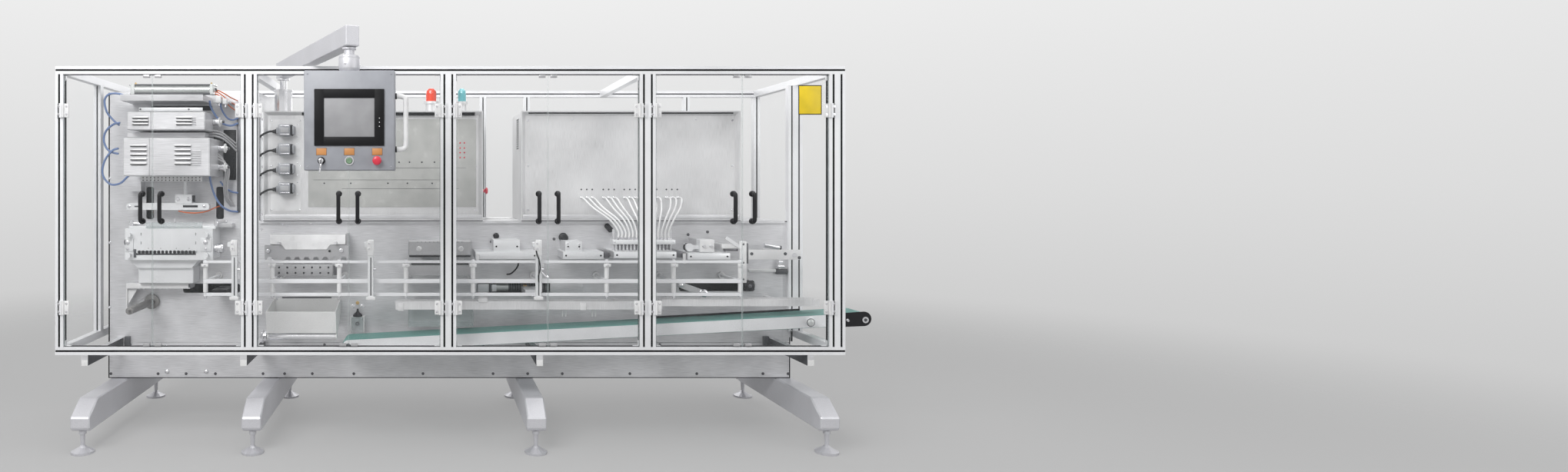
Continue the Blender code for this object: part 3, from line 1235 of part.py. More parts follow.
def make_filling_head():
    """Manifold bar on two guide rods with fifteen nozzles, each fed by its own tube."""
    bar = block(FILL_SPAN, (FILL_BACK - 0.016, FILL_ROD_BACK + 0.016), MANIFOLD_UP, 0.002)
    shapes = [bar]
    first = FILL_SPAN[0] + 0.030
    pitch = (FILL_SPAN[1] - FILL_SPAN[0] - 0.060) / (NOZZLES - 1)
    outlet_back = SUNK_FRONT - GAP
    for number in range(NOZZLES):
        along = first + pitch * number
        tip = at(along, FILL_BACK, FILL_BASE_UP[1] - 0.004)
        shapes.append(rod(tip, at(along, FILL_BACK, MANIFOLD_UP[1] + 0.006), NOZZLE_RADIUS, 6))
        outlet_along = TUBE_GROUP_CENTRES[number // 3] + TUBE_GROUP_SPREAD * (number % 3 - 1)
        points = [
            at(along, FILL_BACK, MANIFOLD_UP[1] - 0.002),
            at(along, FILL_BACK, MANIFOLD_UP[1] + 0.045),
            at(along + (outlet_along - along) * 0.25, FILL_BACK + 0.012, MANIFOLD_UP[1] + 0.105),
            at(along + (outlet_along - along) * 0.75, FILL_BACK + 0.070, TUBE_OUTLET_UP - 0.055),
            at(outlet_along, FILL_BACK + 0.135, TUBE_OUTLET_UP - 0.006),
            at(outlet_along, outlet_back, TUBE_OUTLET_UP),
        ]
        shapes.append(tube(points, TUBE_RADIUS, 1))
    cuts = []
    for along in (FILL_SPAN[0] + FILL_ROD_INSET, FILL_SPAN[1] - FILL_ROD_INSET):
        low = at(along, FILL_ROD_BACK, MANIFOLD_UP[0] - 0.02)
        cuts.append(bore(low, at(along, FILL_ROD_BACK, MANIFOLD_UP[1] + 0.02), ROD_RADIUS))
    part("filling_head", WHITE, shapes, cuts, origin=at(FILL_SPAN[0], FILL_BACK, MANIFOLD_UP[0]))


def make_cutter():
    """Cutter arm that pivots at its right end, with its upright blade and bent stay."""
    rear = CONSOLE_FRONT - 0.055
    pivot_along, pivot_up = CUTTER_PIVOT
    arm_edge = [(3.607, 0.958), (3.607, 0.996)]
    arm_edge += arc((pivot_along, pivot_up), 0.026, 90, -90, 8)
    arm = outline([arm_edge], 0.014, rear - 0.007)
    blade = block((3.578, 3.609), (rear - 0.014, rear), (0.825, 1.051), 0.002)
    stay_edge = [(3.500, 1.062), (3.585, 1.004), (3.612, 1.004), (3.612, 1.020), (3.592, 1.020), (3.510, 1.076)]
    stay = outline([stay_edge], 0.012, rear - 0.008)
    eye = bore(at(pivot_along, rear - 0.03, pivot_up), at(pivot_along, rear + 0.01, pivot_up), CUTTER_PIN_RADIUS, ROUND_SIDES)
    part("cutter_arm", WHITE, [arm, blade, stay], [eye], origin=at(pivot_along, rear, pivot_up))


make_rails()
make_carriage()
make_preheat_press()
make_marking_press()
make_sealing_press()
make_filling_head()
make_cutter()

# Trays, chute and conveyor.
TRAY_START = 1.713
TRAY_JOINT = 3.136
TRAY_END = 3.977
TRAY_LEFT_SPAN = (TRAY_START, TRAY_JOINT)
TRAY_RIGHT_SPAN = (TRAY_JOINT, TRAY_END)
TRAY_LEFT_UP = (0.690, 0.735)
TRAY_RIGHT_UP = (0.708, 0.7455)
TRAY_BACK = (0.225, 0.300)
SHEET = 0.003
TRAY_ARMS = (TRAY_START + 0.087, TRAY_START + 0.647, TRAY_JOINT - 0.186)
TRAY_ARMS_RIGHT = (TRAY_JOINT + 0.104, TRAY_END - 0.177)
CHUTE_SPAN = (1.016, 1.392)
CHUTE_TOP = 0.703
CHUTE_BOTTOM = 0.556
ROLLER_UP = 0.534
ROLLER_RADIUS = 0.020
ROLLER_BACK = 0.300
TAIL_ALONG = CONVEYOR_START + BELT_RADIUS
NOSE_ALONG = OVERALL_LENGTH - BELT_RADIUS
TAIL_HEIGHT = NOSE_HEIGHT - (NOSE_ALONG - TAIL_ALONG) * CONVEYOR_SLOPE
BELT_BACK = BELT_FRONT + BELT_WIDTH
BELT_STEPS = 10
PULLEY_RADIUS = (BELT_RADIUS - BELT_THICKNESS) * math.cos(math.pi / 2 / BELT_STEPS) - GAP
SHAFT_RADIUS = 0.007
SUPPORTS = (1.62, 2.28, 2.94, 3.60)


def make_trays():
    """Sheet metal outfeed trays in a line before the face plate, carried by their arms."""
    shapes = []
    for span, up, arms in (
        (TRAY_LEFT_SPAN, TRAY_LEFT_UP, TRAY_ARMS),
        (TRAY_RIGHT_SPAN, TRAY_RIGHT_UP, TRAY_ARMS_RIGHT),
    ):
        shapes.append(block(span, TRAY_BACK, (up[0], up[0] + SHEET)))
        shapes.append(block(span, (TRAY_BACK[0], TRAY_BACK[0] + SHEET), up))
        shapes.append(block(span, (TRAY_BACK[1] - SHEET, TRAY_BACK[1]), up))
        for along in arms:
            arm_up = (up[0] + 0.001, up[0] + 0.021)
            shapes.append(block((along - 0.012, along + 0.012), (TRAY_BACK[1] - 0.002, PLATE_FRONT - GAP), arm_up))
    joint = (TRAY_RIGHT_SPAN[0] - 0.004, TRAY_RIGHT_SPAN[0] + SHEET)
    shapes.append(block(joint, TRAY_BACK, (TRAY_LEFT_UP[0], TRAY_RIGHT_UP[0] + SHEET)))
    part("outfeed_trays", STEEL, shapes)


def make_chute():
    """Waste chute: a folded sheet open at the top, narrowing to its mouth over the roller."""
    rear = PLATE_FRONT - GAP
    outer = [
        (rear, CHUTE_TOP + 0.012),
        (0.240, CHUTE_TOP - 0.030),
        (0.275, CHUTE_BOTTOM),
        (0.345, CHUTE_BOTTOM),
        (rear, CHUTE_TOP - 0.070),
    ]
    inner = [
        (rear - SHEET, CHUTE_TOP + 0.040),
        (0.240 + SHEET, CHUTE_TOP + 0.010),
        (0.275 + SHEET, CHUTE_BOTTOM - 0.01),
        (0.345 - SHEET, CHUTE_BOTTOM - 0.01),
        (rear - SHEET, CHUTE_TOP - 0.066),
    ]
    centre = (CHUTE_SPAN[0] + CHUTE_SPAN[1]) / 2
    wide = CHUTE_SPAN[1] - CHUTE_SPAN[0]
    shell = outline([outer], wide, centre, side_view=True)
    hollow = outline([inner], wide - 2 * SHEET, centre, side_view=True)
    ears = []
    for along in (CHUTE_SPAN[0] + 0.003, CHUTE_SPAN[1] - 0.003):
        edge = [(0.285, CHUTE_BOTTOM + 0.004), (0.335, CHUTE_BOTTOM + 0.004)]
        edge += arc((ROLLER_BACK, ROLLER_UP), 0.018, 0, -180, 6)
        ears.append(outline([edge], 0.0062, along, side_view=True))
    start = at(CHUTE_SPAN[0] - 0.01, ROLLER_BACK, ROLLER_UP)
    hole = bore(start, at(CHUTE_SPAN[1] + 0.01, ROLLER_BACK, ROLLER_UP), SHAFT_RADIUS)
    part("waste_chute", STEEL, [shell, *ears], [hollow, hole])
    roller_start = CHUTE_SPAN[0] + 0.006 + GAP
    roller_end = CHUTE_SPAN[1] - 0.006 - GAP
    roller = rod(at(roller_start, ROLLER_BACK, ROLLER_UP), at(roller_end, ROLLER_BACK, ROLLER_UP), ROLLER_RADIUS, 16)
    shaft = rod(at(CHUTE_SPAN[0] - 0.008, ROLLER_BACK, ROLLER_UP), at(CHUTE_SPAN[1] + 0.002, ROLLER_BACK, ROLLER_UP), SHAFT_RADIUS)
    wheel = rod(at(CHUTE_SPAN[0] - 0.020, ROLLER_BACK, ROLLER_UP), at(CHUTE_SPAN[0] - 0.004, ROLLER_BACK, ROLLER_UP), 0.026, 20)
    origin = at(CHUTE_SPAN[0], ROLLER_BACK, ROLLER_UP)
    part("waste_roller", BRIGHT_STEEL, [roller, shaft, wheel], origin=origin)


def belt_loop(radius):
    """Outline of a belt round both pulleys at one radius."""
    lean = math.degrees(math.atan2(NOSE_HEIGHT - TAIL_HEIGHT, NOSE_ALONG - TAIL_ALONG))
    nose = arc((NOSE_ALONG, NOSE_HEIGHT), radius, lean - 90, lean + 90, BELT_STEPS)
    tail = arc((TAIL_ALONG, TAIL_HEIGHT), radius, lean + 90, lean + 270, BELT_STEPS)
    return nose + tail


def make_conveyor():
    """Rising belt conveyor: side plates joined by a bed, belt, pulleys and supports."""
    middle = (BELT_FRONT + BELT_BACK) / 2
    side_gap = 0.0015
    near = BELT_FRONT - side_gap
    far = BELT_BACK + side_gap
    plate = belt_loop(BELT_RADIUS - 0.003)
    shapes = [
        outline([plate], SIDE_PLATE, near - SIDE_PLATE / 2),
        outline([plate], SIDE_PLATE, far + SIDE_PLATE / 2),
    ]
    clear = PULLEY_RADIUS + 0.012
    slope = CONVEYOR_SLOPE
    half = PULLEY_RADIUS - 0.006
    left, right = TAIL_ALONG + clear, NOSE_ALONG - clear
    low, high = TAIL_HEIGHT + clear * slope, NOSE_HEIGHT - clear * slope
    bed = [(left, low - half), (right, high - half), (right, high + half), (left, low + half)]
    shapes.append(outline([bed], far - near + SIDE_PLATE, middle))
    for along in SUPPORTS:
        up = TAIL_HEIGHT + (along - TAIL_ALONG) * slope
        start = at(along, far + SIDE_PLATE - 0.002, up)
        shapes.append(rod(start, at(along, PLATE_FRONT - GAP, up), 0.012))
    knob_up = NOSE_HEIGHT - (NOSE_ALONG - 3.916) * slope
    knob_front = near - SIDE_PLATE - 0.022
    shapes.append(rod(at(3.916, knob_front, knob_up), at(3.916, near - 0.002, knob_up), 0.020, 20))
    bores = []
    for along, up in ((TAIL_ALONG, TAIL_HEIGHT), (NOSE_ALONG, NOSE_HEIGHT)):
        start = at(along, near - SIDE_PLATE - 0.01, up)
        bores.append(bore(start, at(along, far + SIDE_PLATE + 0.01, up), SHAFT_RADIUS))
    part("conveyor_frame", WHITE, shapes, bores)
    belt = outline([belt_loop(BELT_RADIUS), belt_loop(BELT_RADIUS - BELT_THICKNESS)], BELT_WIDTH, middle)
    part("conveyor_belt", TEAL, [belt])
    for name, along, up in (
        ("tail_pulley", TAIL_ALONG, TAIL_HEIGHT),
        ("drive_pulley", NOSE_ALONG, NOSE_HEIGHT),
    ):
        drum = rod(at(along, BELT_FRONT, up), at(along, BELT_BACK, up), PULLEY_RADIUS, 20)
        shaft_front = near - SIDE_PLATE - 0.004
        shaft_rear = far + SIDE_PLATE + 0.004
        shaft = rod(at(along, shaft_front, up), at(along, shaft_rear, up), SHAFT_RADIUS)
        hub = rod(at(along, shaft_front - 0.006, up), at(along, shaft_front + 0.002, up), 0.016, 6)
        part(name, BLACK, [drum, shaft, hub], origin=at(along, middle, up))


make_trays()
make_chute()
make_conveyor()
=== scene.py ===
"""Looks of the guarded form, fill and seal machine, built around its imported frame."""
import math

import bmesh
import bpy
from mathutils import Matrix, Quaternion, Vector


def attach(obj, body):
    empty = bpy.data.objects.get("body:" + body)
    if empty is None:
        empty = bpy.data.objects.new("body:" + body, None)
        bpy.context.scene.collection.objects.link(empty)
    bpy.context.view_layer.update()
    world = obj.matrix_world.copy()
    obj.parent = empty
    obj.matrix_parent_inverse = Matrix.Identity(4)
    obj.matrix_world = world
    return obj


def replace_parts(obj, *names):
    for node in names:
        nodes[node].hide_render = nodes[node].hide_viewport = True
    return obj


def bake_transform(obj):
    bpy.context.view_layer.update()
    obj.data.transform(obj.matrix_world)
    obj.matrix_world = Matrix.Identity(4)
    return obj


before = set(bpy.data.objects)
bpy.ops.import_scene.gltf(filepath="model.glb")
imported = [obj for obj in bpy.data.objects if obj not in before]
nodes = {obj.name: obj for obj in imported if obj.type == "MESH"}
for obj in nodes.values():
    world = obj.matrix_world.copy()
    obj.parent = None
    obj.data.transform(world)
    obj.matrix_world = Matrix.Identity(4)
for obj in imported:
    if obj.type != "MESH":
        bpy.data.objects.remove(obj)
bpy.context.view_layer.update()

LENGTH = 4.223
DEPTH_CENTRE = 0.29975
ROOT = "machine"
TO_FRONT = (0, -1, 0)
TO_BACK = (0, 1, 0)
TO_RIGHT = (1, 0, 0)
TO_LEFT = (-1, 0, 0)
UPWARD = (0, 0, 1)
DOWNWARD = (0, 0, -1)


def at(along, back, up):
    """World point of a place on the machine: along from the left, back from the guard's front, up."""
    return Vector((along - LENGTH / 2, back - DEPTH_CENTRE, up))


def around(middle, half):
    """A span with the same reach on both sides of its middle."""
    return middle - half, middle + half


def inset(span, gap):
    """A span that starts a gap later and ends a gap earlier."""
    return span[0] + gap, span[1] - gap


# ---------------------------------------------------------------- materials

def node_material(name):
    """A new node material: its tree, its shader and its object coordinates."""
    made = bpy.data.materials.new(name)
    made.use_nodes = True
    tree = made.node_tree
    shader = tree.nodes["Principled BSDF"]
    place = tree.nodes.new("ShaderNodeTexCoord").outputs["Object"]
    return made, tree, shader, place


def scaled(tree, place, scale):
    """Coordinates stretched by a scale along each axis."""
    mapping = tree.nodes.new("ShaderNodeMapping")
    mapping.inputs["Scale"].default_value = scale
    tree.links.new(place, mapping.inputs["Vector"])
    return mapping.outputs["Vector"]


def noise(tree, vector, scale, detail=3.0):
    """A noise value at a scale."""
    made = tree.nodes.new("ShaderNodeTexNoise")
    made.inputs["Scale"].default_value = scale
    made.inputs["Detail"].default_value = detail
    tree.links.new(vector, made.inputs["Vector"])
    return made.outputs["Fac"]


def ramp(tree, value, low, high, dark, light):
    """A colour that goes from dark to light as the value goes from low to high."""
    made = tree.nodes.new("ShaderNodeValToRGB")
    made.color_ramp.elements[0].position = low
    made.color_ramp.elements[1].position = high
    made.color_ramp.elements[0].color = (*dark, 1)
    made.color_ramp.elements[1].color = (*light, 1)
    tree.links.new(value, made.inputs["Fac"])
    return made.outputs["Color"]


def spread(tree, value, low, high):
    """A number that goes from low to high with the value."""
    made = tree.nodes.new("ShaderNodeMapRange")
    made.inputs["From Min"].default_value = 0.3
    made.inputs["From Max"].default_value = 0.7
    made.inputs["To Min"].default_value = low
    made.inputs["To Max"].default_value = high
    tree.links.new(value, made.inputs["Value"])
    return made.outputs["Result"]


def bump(tree, value, shader, strength, distance):
    """Lets a value raise the surface."""
    made = tree.nodes.new("ShaderNodeBump")
    made.inputs["Strength"].default_value = strength
    made.inputs["Distance"].default_value = distance
    tree.links.new(value, made.inputs["Height"])
    tree.links.new(made.outputs["Normal"], shader.inputs["Normal"])


def tint(colour, factor):
    """A colour made lighter or darker."""
    return tuple(min(1.0, channel * factor) for channel in colour)


# How much of the brushed metal's variation comes from its grain, the rest from clouds.
LINE_SHARE = 0.64


def brushed(name, colour, rough=0.30, metal=0.75, grain=(3, 3, 160), strength=0.12, dark=0.88):
    """Brushed metal: fine grain across one axis and slow cloudy variation."""
    made, tree, shader, place = node_material(name)
    lines = noise(tree, scaled(tree, place, grain), 6.0, 4.0)
    clouds = noise(tree, place, 5.0, 2.0)
    mixed = tree.nodes.new("ShaderNodeMath")
    mixed.operation = "MULTIPLY_ADD"
    mixed.inputs[1].default_value = LINE_SHARE
    tree.links.new(lines, mixed.inputs[0])
    rest = tree.nodes.new("ShaderNodeMath")
    rest.operation = "MULTIPLY"
    rest.inputs[1].default_value = 1 - LINE_SHARE
    tree.links.new(clouds, rest.inputs[0])
    tree.links.new(rest.outputs[0], mixed.inputs[2])
    tree.links.new(ramp(tree, mixed.outputs[0], 0.35, 0.65, tint(colour, dark), tint(colour, 1.07)),
                   shader.inputs["Base Color"])
    tree.links.new(spread(tree, mixed.outputs[0], rough * 0.8, rough * 1.25), shader.inputs["Roughness"])
    shader.inputs["Metallic"].default_value = metal
    bump(tree, lines, shader, strength, 0.0004)
    return made


def moulded(name, colour, rough=0.42, grain=900.0, strength=0.10, coat=0.0, gloss=0.5):
    """Moulded plastic or paint: fine orange peel with a little colour variation."""
    made, tree, shader, place = node_material(name)
    fine = noise(tree, place, grain, 2.0)
    slow = noise(tree, place, 14.0, 2.0)
    tree.links.new(ramp(tree, slow, 0.3, 0.7, tint(colour, 0.92), tint(colour, 1.06)),
                   shader.inputs["Base Color"])
    tree.links.new(spread(tree, slow, rough * 0.85, rough * 1.15), shader.inputs["Roughness"])
    shader.inputs["Coat Weight"].default_value = coat
    shader.inputs["Specular IOR Level"].default_value = gloss
    bump(tree, fine, shader, strength, 0.0002)
    return made


def clear_sheet(name, colour, alpha, rough=0.03):
    """Clear plastic sheet that lets nearly all light pass, with faint smears."""
    made, tree, shader, place = node_material(name)
    smears = noise(tree, scaled(tree, place, (1.4, 1.4, 0.5)), 3.0, 2.0)
    shader.inputs["Base Color"].default_value = (*colour, 1)
    tree.links.new(spread(tree, smears, rough, rough * 3), shader.inputs["Roughness"])
    tree.links.new(spread(tree, smears, alpha * 0.6, alpha * 1.5), shader.inputs["Alpha"])
    shader.inputs["Specular IOR Level"].default_value = 0.5
    return made


STAINLESS = brushed("stainless_steel", (0.79, 0.79, 0.795), 0.32, 0.38, (160, 160, 3), dark=0.80)
STAINLESS_FLAT = brushed("stainless_plate", (0.74, 0.74, 0.755), 0.36, 0.35, (2.5, 2.5, 120), dark=0.72)
STAINLESS_FOOT = brushed("satin_leg", (0.66, 0.66, 0.69), 0.42, 0.35, (60, 60, 60), 0.05)
BRIGHT = brushed("bright_steel", (0.80, 0.80, 0.82), 0.16, 0.95, (40, 40, 40), 0.05)
FOOT_STEEL = brushed("foot_steel", (0.62, 0.62, 0.65), 0.34, 0.45, (60, 60, 60), 0.05)
SATIN = brushed("satin_steel", (0.50, 0.50, 0.51), 0.34, 0.5, (200, 30, 30), 0.10, dark=0.78)
TUBE_STEEL = brushed("cylinder_tube", (0.60, 0.62, 0.61), 0.30, 0.4, (60, 60, 60), 0.05)
PALE_SHEET = brushed("pale_sheet", (0.88, 0.88, 0.87), 0.42, 0.08, (60, 60, 60), 0.04)
MACHINED = brushed("machined_aluminium", (0.82, 0.83, 0.84), 0.32, 0.25, (220, 30, 30), 0.10)
PROFILE = brushed("anodised_profile", (0.86, 0.865, 0.88), 0.36, 0.12, (90, 90, 90), 0.05)
DARK_STEEL = brushed("dark_steel", (0.16, 0.16, 0.17), 0.35, 0.8, (60, 60, 60), 0.08)
BRASS = brushed("brass", (0.72, 0.52, 0.24), 0.28, 0.9, (60, 60, 60), 0.06)
CLEAR = clear_sheet("clear_pane", (0.88, 0.92, 0.95), 0.02)
CLEAR_EDGE = clear_sheet("clear_pane_edge", (0.62, 0.68, 0.68), 0.30, 0.08)
WHITE = moulded("white_plastic", (0.80, 0.80, 0.80), 0.40)
BLACK = moulded("black_plastic", (0.014, 0.014, 0.016), 0.42, gloss=0.28)
SPINDLE = brushed("spindle_steel", (0.24, 0.235, 0.23), 0.42, 0.6, (60, 60, 60), 0.08)
MIMIC = moulded("mimic_sheet", (0.53, 0.535, 0.515), 0.24, 500.0, 0.03)
BEZEL = moulded("black_bezel", (0.012, 0.012, 0.013), 0.50, 1200.0, 0.05, gloss=0.14)
DIE_CAST = brushed("die_cast_housing", (0.34, 0.35, 0.37), 0.42, 0.45, (70, 70, 70), 0.20)
RUBBER = moulded("black_rubber", (0.012, 0.012, 0.013), 0.80, 500.0, 0.2, gloss=0.15)
PANEL = moulded("panel_paint", (0.335, 0.345, 0.375), 0.42, 1200.0, 0.16)
DARK_GREY = moulded("dark_grey", (0.075, 0.078, 0.085), 0.45)
SCREEN = moulded("screen_glass", (0.34, 0.34, 0.35), 0.42, 1500.0, 0.02, 0.0, 0.22)
RED = moulded("red_button", (0.72, 0.035, 0.07), 0.32, 600.0, 0.05, 0.3)
GREEN = moulded("green_button", (0.17, 0.28, 0.17), 0.36, 600.0, 0.05, 0.3)
TUBE_WHITE = moulded("feed_tube", (0.88, 0.88, 0.88), 0.30, 500.0, 0.04)
LABEL = moulded("label_plate", (0.60, 0.27, 0.09), 0.45)
YELLOW = moulded("yellow_plate", (0.85, 0.62, 0.02), 0.45)
LAMP_RED = moulded("lamp_red", (0.78, 0.06, 0.02), 0.20, 300.0, 0.03, 0.5)
LAMP_TEAL = moulded("lamp_teal", (0.16, 0.52, 0.56), 0.20, 300.0, 0.03, 0.5)
BELT = moulded("belt_teal", (0.13, 0.30, 0.27), 0.55, 700.0, 0.35)
BLUE_HOSE = moulded("blue_hose", (0.16, 0.24, 0.45), 0.35)
ORANGE_HOSE = moulded("orange_hose", (0.66, 0.15, 0.04), 0.35)
GREY_HOSE = moulded("grey_hose", (0.46, 0.46, 0.47), 0.45, 260.0, 0.5)


def dress(material, *names):
    """Gives CAD nodes a material."""
    for name in names:
        item = nodes[name]
        item.data.materials.clear()
        item.data.materials.append(material)


dress(STAINLESS_FLAT, "machine_housing", "face_plate", "lower_cover", "upper_cover")
dress(STAINLESS_FOOT, *[f"leg_{number}" for number in range(1, 5)], "swing_arm")
dress(FOOT_STEEL, *[f"foot_{number}" for number in range(1, 9)])
dress(TUBE_STEEL, "air_cylinder")
dress(BRIGHT, "waste_roller", "arm_post")
dress(SPINDLE, "film_spindle")
dress(PROFILE, "guard_front_frame", "guard_back_frame")
dress(CLEAR, "left_pane", "right_pane", "rear_pane")
dress(STAINLESS, "cabinet_left", "cabinet_right", "outfeed_trays")
dress(PALE_SHEET, "waste_chute")
dress(MACHINED, "clamp_bar", "forming_base", "forming_die", "feed_carriage",
      "sealing_press", "filling_head", "cutter_arm", "conveyor_frame")
dress(SATIN, "preheat_press", "marking_press")
dress(PROFILE, "guide_rails")
dress(WHITE, "connector_panel")
dress(LAMP_RED, "beacon_red")
dress(LAMP_TEAL, "beacon_teal")
dress(BELT, "conveyor_belt")
dress(DARK_GREY, "drive_pulley", "tail_pulley")
dress(PANEL, "operator_box")
dress(BLACK, "touch_screen", "key_switch")
dress(GREEN, "start_button")
dress(RED, "stop_button")


# ---------------------------------------------------------------- pieces

def turned_about(mesh, direction, base):
    """Moves a shape made along Z so that it lies along a direction, from a base point."""
    turn = Vector(direction).to_track_quat("Z", "Y").to_matrix().to_4x4()
    bmesh.ops.transform(mesh, matrix=turn, verts=mesh.verts)
    bmesh.ops.translate(mesh, vec=base, verts=mesh.verts)


def circle(shape, radius, height, sides):
    """New corners round a circle at a height."""
    turns = [2 * math.pi * step / sides for step in range(sides)]
    return [shape.verts.new((radius * math.cos(turn), radius * math.sin(turn), height)) for turn in turns]


def skin(shape, rings, ends=True):
    """Faces between each ring of corners and the next, and over both ends."""
    for low, high in zip(rings, rings[1:]):
        for step in range(len(low)):
            after = (step + 1) % len(low)
            shape.faces.new((low[step], low[after], high[after], high[step]))
    if ends:
        shape.faces.new(rings[0][::-1])
        shape.faces.new(rings[-1])


class Piece:
    """One visible piece, gathered from rounded blocks, turned shapes and tubes."""

    def __init__(self, name, body=ROOT):
        self.name = name
        self.body = body
        self.mesh = bmesh.new()
        self.looks = []

    def keep(self, shape, look):
        """Adds a finished shape with its material."""
        if look not in self.looks:
            self.looks.append(look)
        for face in shape.faces:
            face.material_index = self.looks.index(look)
        holder = bpy.data.meshes.new("holder")
        shape.to_mesh(holder)
        shape.free()
        self.mesh.from_mesh(holder)
        bpy.data.meshes.remove(holder)

    def block(self, look, along, back, up, edge=0.0015, turn=None):
        """A rounded block between pairs of places, turned about its middle by (axis, degrees)."""
        shape = bmesh.new()
        bmesh.ops.create_cube(shape, size=1.0)
        size = Vector((along[1] - along[0], back[1] - back[0], up[1] - up[0]))
        bmesh.ops.scale(shape, vec=size, verts=shape.verts)
        if edge:
            bmesh.ops.bevel(shape, geom=shape.edges[:], offset=min(edge, min(size) * 0.4), segments=2,
                            profile=0.5, affect="EDGES")
        if turn:
            spin = Quaternion(turn[0], math.radians(turn[1]))
            bmesh.ops.rotate(shape, cent=(0, 0, 0), matrix=spin.to_matrix(), verts=shape.verts)
        bmesh.ops.translate(shape, vec=at(sum(along) / 2, sum(back) / 2, sum(up) / 2), verts=shape.verts)
        self.keep(shape, look)

    def turned(self, look, base, direction, profile, sides=24):
        """A shape turned round an axis: profile is (height, radius) pairs from the base."""
        shape = bmesh.new()
        skin(shape, [circle(shape, radius, height, sides) for height, radius in profile])
        turned_about(shape, direction, base)
        self.keep(shape, look)

    def cap(self, look, base, direction, radius, side, height, top, sides=24):
        """A round cap: a straight side, then a cone up to its top radius."""
        self.turned(look, base, direction, [(0, radius), (side, radius), (height, top)], sides)

    def rod(self, look, start, end, radius, edge=0.0012, sides=24):
        """A round rod with softened ends."""
        line = end - start
        edge = min(edge, radius * 0.5, line.length * 0.3)
        self.turned(look, start, line, [(0, radius - edge), (edge, radius), (line.length - edge, radius),
                                        (line.length, radius - edge)], sides)

    def ring(self, look, base, direction, inner, outer, height, sides=28):
        """A flat ring."""
        shape = bmesh.new()
        loops = ((inner, 0), (outer, 0), (outer, height), (inner, height))
        rings = [circle(shape, radius, level, sides) for radius, level in loops]
        skin(shape, rings + rings[:1], ends=False)
        turned_about(shape, direction, base)
        self.keep(shape, look)

    def tube(self, look, points, radius, sides=10):
        """A tube along points that are already close together."""
        shape = bmesh.new()
        rings = []
        side = None
        for number, point in enumerate(points):
            ahead = points[min(number + 1, len(points) - 1)] - points[max(number - 1, 0)]
            ahead.normalize()
            if side is None:
                side = ahead.orthogonal().normalized()
            side = (side - ahead * side.dot(ahead)).normalized()
            other = ahead.cross(side)
            rings.append([shape.verts.new(point + radius * (math.cos(2 * math.pi * step / sides) * side
                                                            + math.sin(2 * math.pi * step / sides) * other))
                          for step in range(sides)])
        skin(shape, rings)
        self.keep(shape, look)

    def sheet(self, look, corners, normal, thickness):
        """A plate of any outline: corner points and a thickness along a normal."""
        shape = bmesh.new()
        push = Vector(normal).normalized() * thickness
        low = [shape.verts.new(corner) for corner in corners]
        high = [shape.verts.new(corner + push) for corner in corners]
        skin(shape, (low, high))
        bmesh.ops.recalc_face_normals(shape, faces=shape.faces[:])
        self.keep(shape, look)

    def bolt(self, look, place, direction=TO_FRONT, radius=0.006, height=0.005):
        """A socket head bolt on a washer."""
        ahead = Vector(direction).normalized()
        self.turned(look, place, ahead, [(0, radius * 1.45), (0.0012, radius * 1.45), (0.0013, radius),
                    (height, radius), (height + 0.0008, radius * 0.85), (height + 0.0008, radius * 0.5),
                    (height - 0.002, radius * 0.46)], 16)

    def dome(self, look, place, direction=TO_FRONT, radius=0.009, height=0.006):
        """A round cap."""
        steps = [(height * math.sin(angle), max(radius * math.cos(angle), radius * 0.08))
                 for angle in (0, 0.35, 0.7, 1.05, 1.35, 1.55)]
        self.turned(look, place, direction, [(-0.001, radius)] + steps, 20)

    def done(self, bend=None):
        """Makes the object and softens its curved faces; it rides on its body, or, when a bend is given,
        keeps its baked place and rides on none (the bend's bodies and places are not used).
        """
        bmesh.ops.recalc_face_normals(self.mesh, faces=self.mesh.faces[:])
        data = bpy.data.meshes.new(self.name)
        self.mesh.to_mesh(data)
        self.mesh.free()
        data.shade_smooth()
        data.set_sharp_from_angle(angle=math.radians(38))
        for look in self.looks:
            data.materials.append(look)
        made = bpy.data.objects.new(self.name, data)
        bpy.context.scene.collection.objects.link(made)
        if bend:
            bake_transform(made)
        else:
            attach(made, self.body)
        return made


def smooth_path(points, steps=8):
    """A smooth curve through points, as closely spaced places."""
    ends = [points[0] * 2 - points[1]] + list(points) + [points[-1] * 2 - points[-2]]
    path = []
    for before, start, end, after in zip(ends, ends[1:], ends[2:], ends[3:]):
        for step in range(steps):
            t = step / steps
            square = 2 * before - 5 * start + 4 * end - after
            cube = 3 * start - before - 3 * end + after
            path.append(0.5 * (2 * start + (end - before) * t + square * t * t + cube * t ** 3))
    path.append(points[-1].copy())
    return path


def hose(name, look, points, radius, body=ROOT, sides=10):
    """A hose between two fittings."""
    path = smooth_path(points)
    piece = Piece(name, body)
    piece.tube(look, path, radius, sides)
    made = piece.done()
    return made


# The main view: the eye's place, the pixel straight ahead of it, and its distance to the guard's front.
EYE_ALONG = 1.893
EYE_UP = 1.346
EYE_AWAY = 4.1
EYE_PIXEL = (558, 243)
PIXELS_PER_METRE = 257


def seen(x, y, back):
    """A place given by the pixel where the main view shows it, at a depth."""
    scale = (1 + back / EYE_AWAY) / PIXELS_PER_METRE
    return at(EYE_ALONG + (x - EYE_PIXEL[0]) * scale, back, EYE_UP - (y - EYE_PIXEL[1]) * scale)


def traced(*places):
    """Places given as pixel across, pixel down and depth."""
    return [seen(*place) for place in places]


def screws(piece, look, places, back, radius=0.0055, height=0.004):
    """Bolts at places given by the main view, on a face at a depth."""
    for x, y in places:
        piece.bolt(look, seen(x, y, back), radius=radius, height=height)


# ---------------------------------------------------------------- camera, light and floor

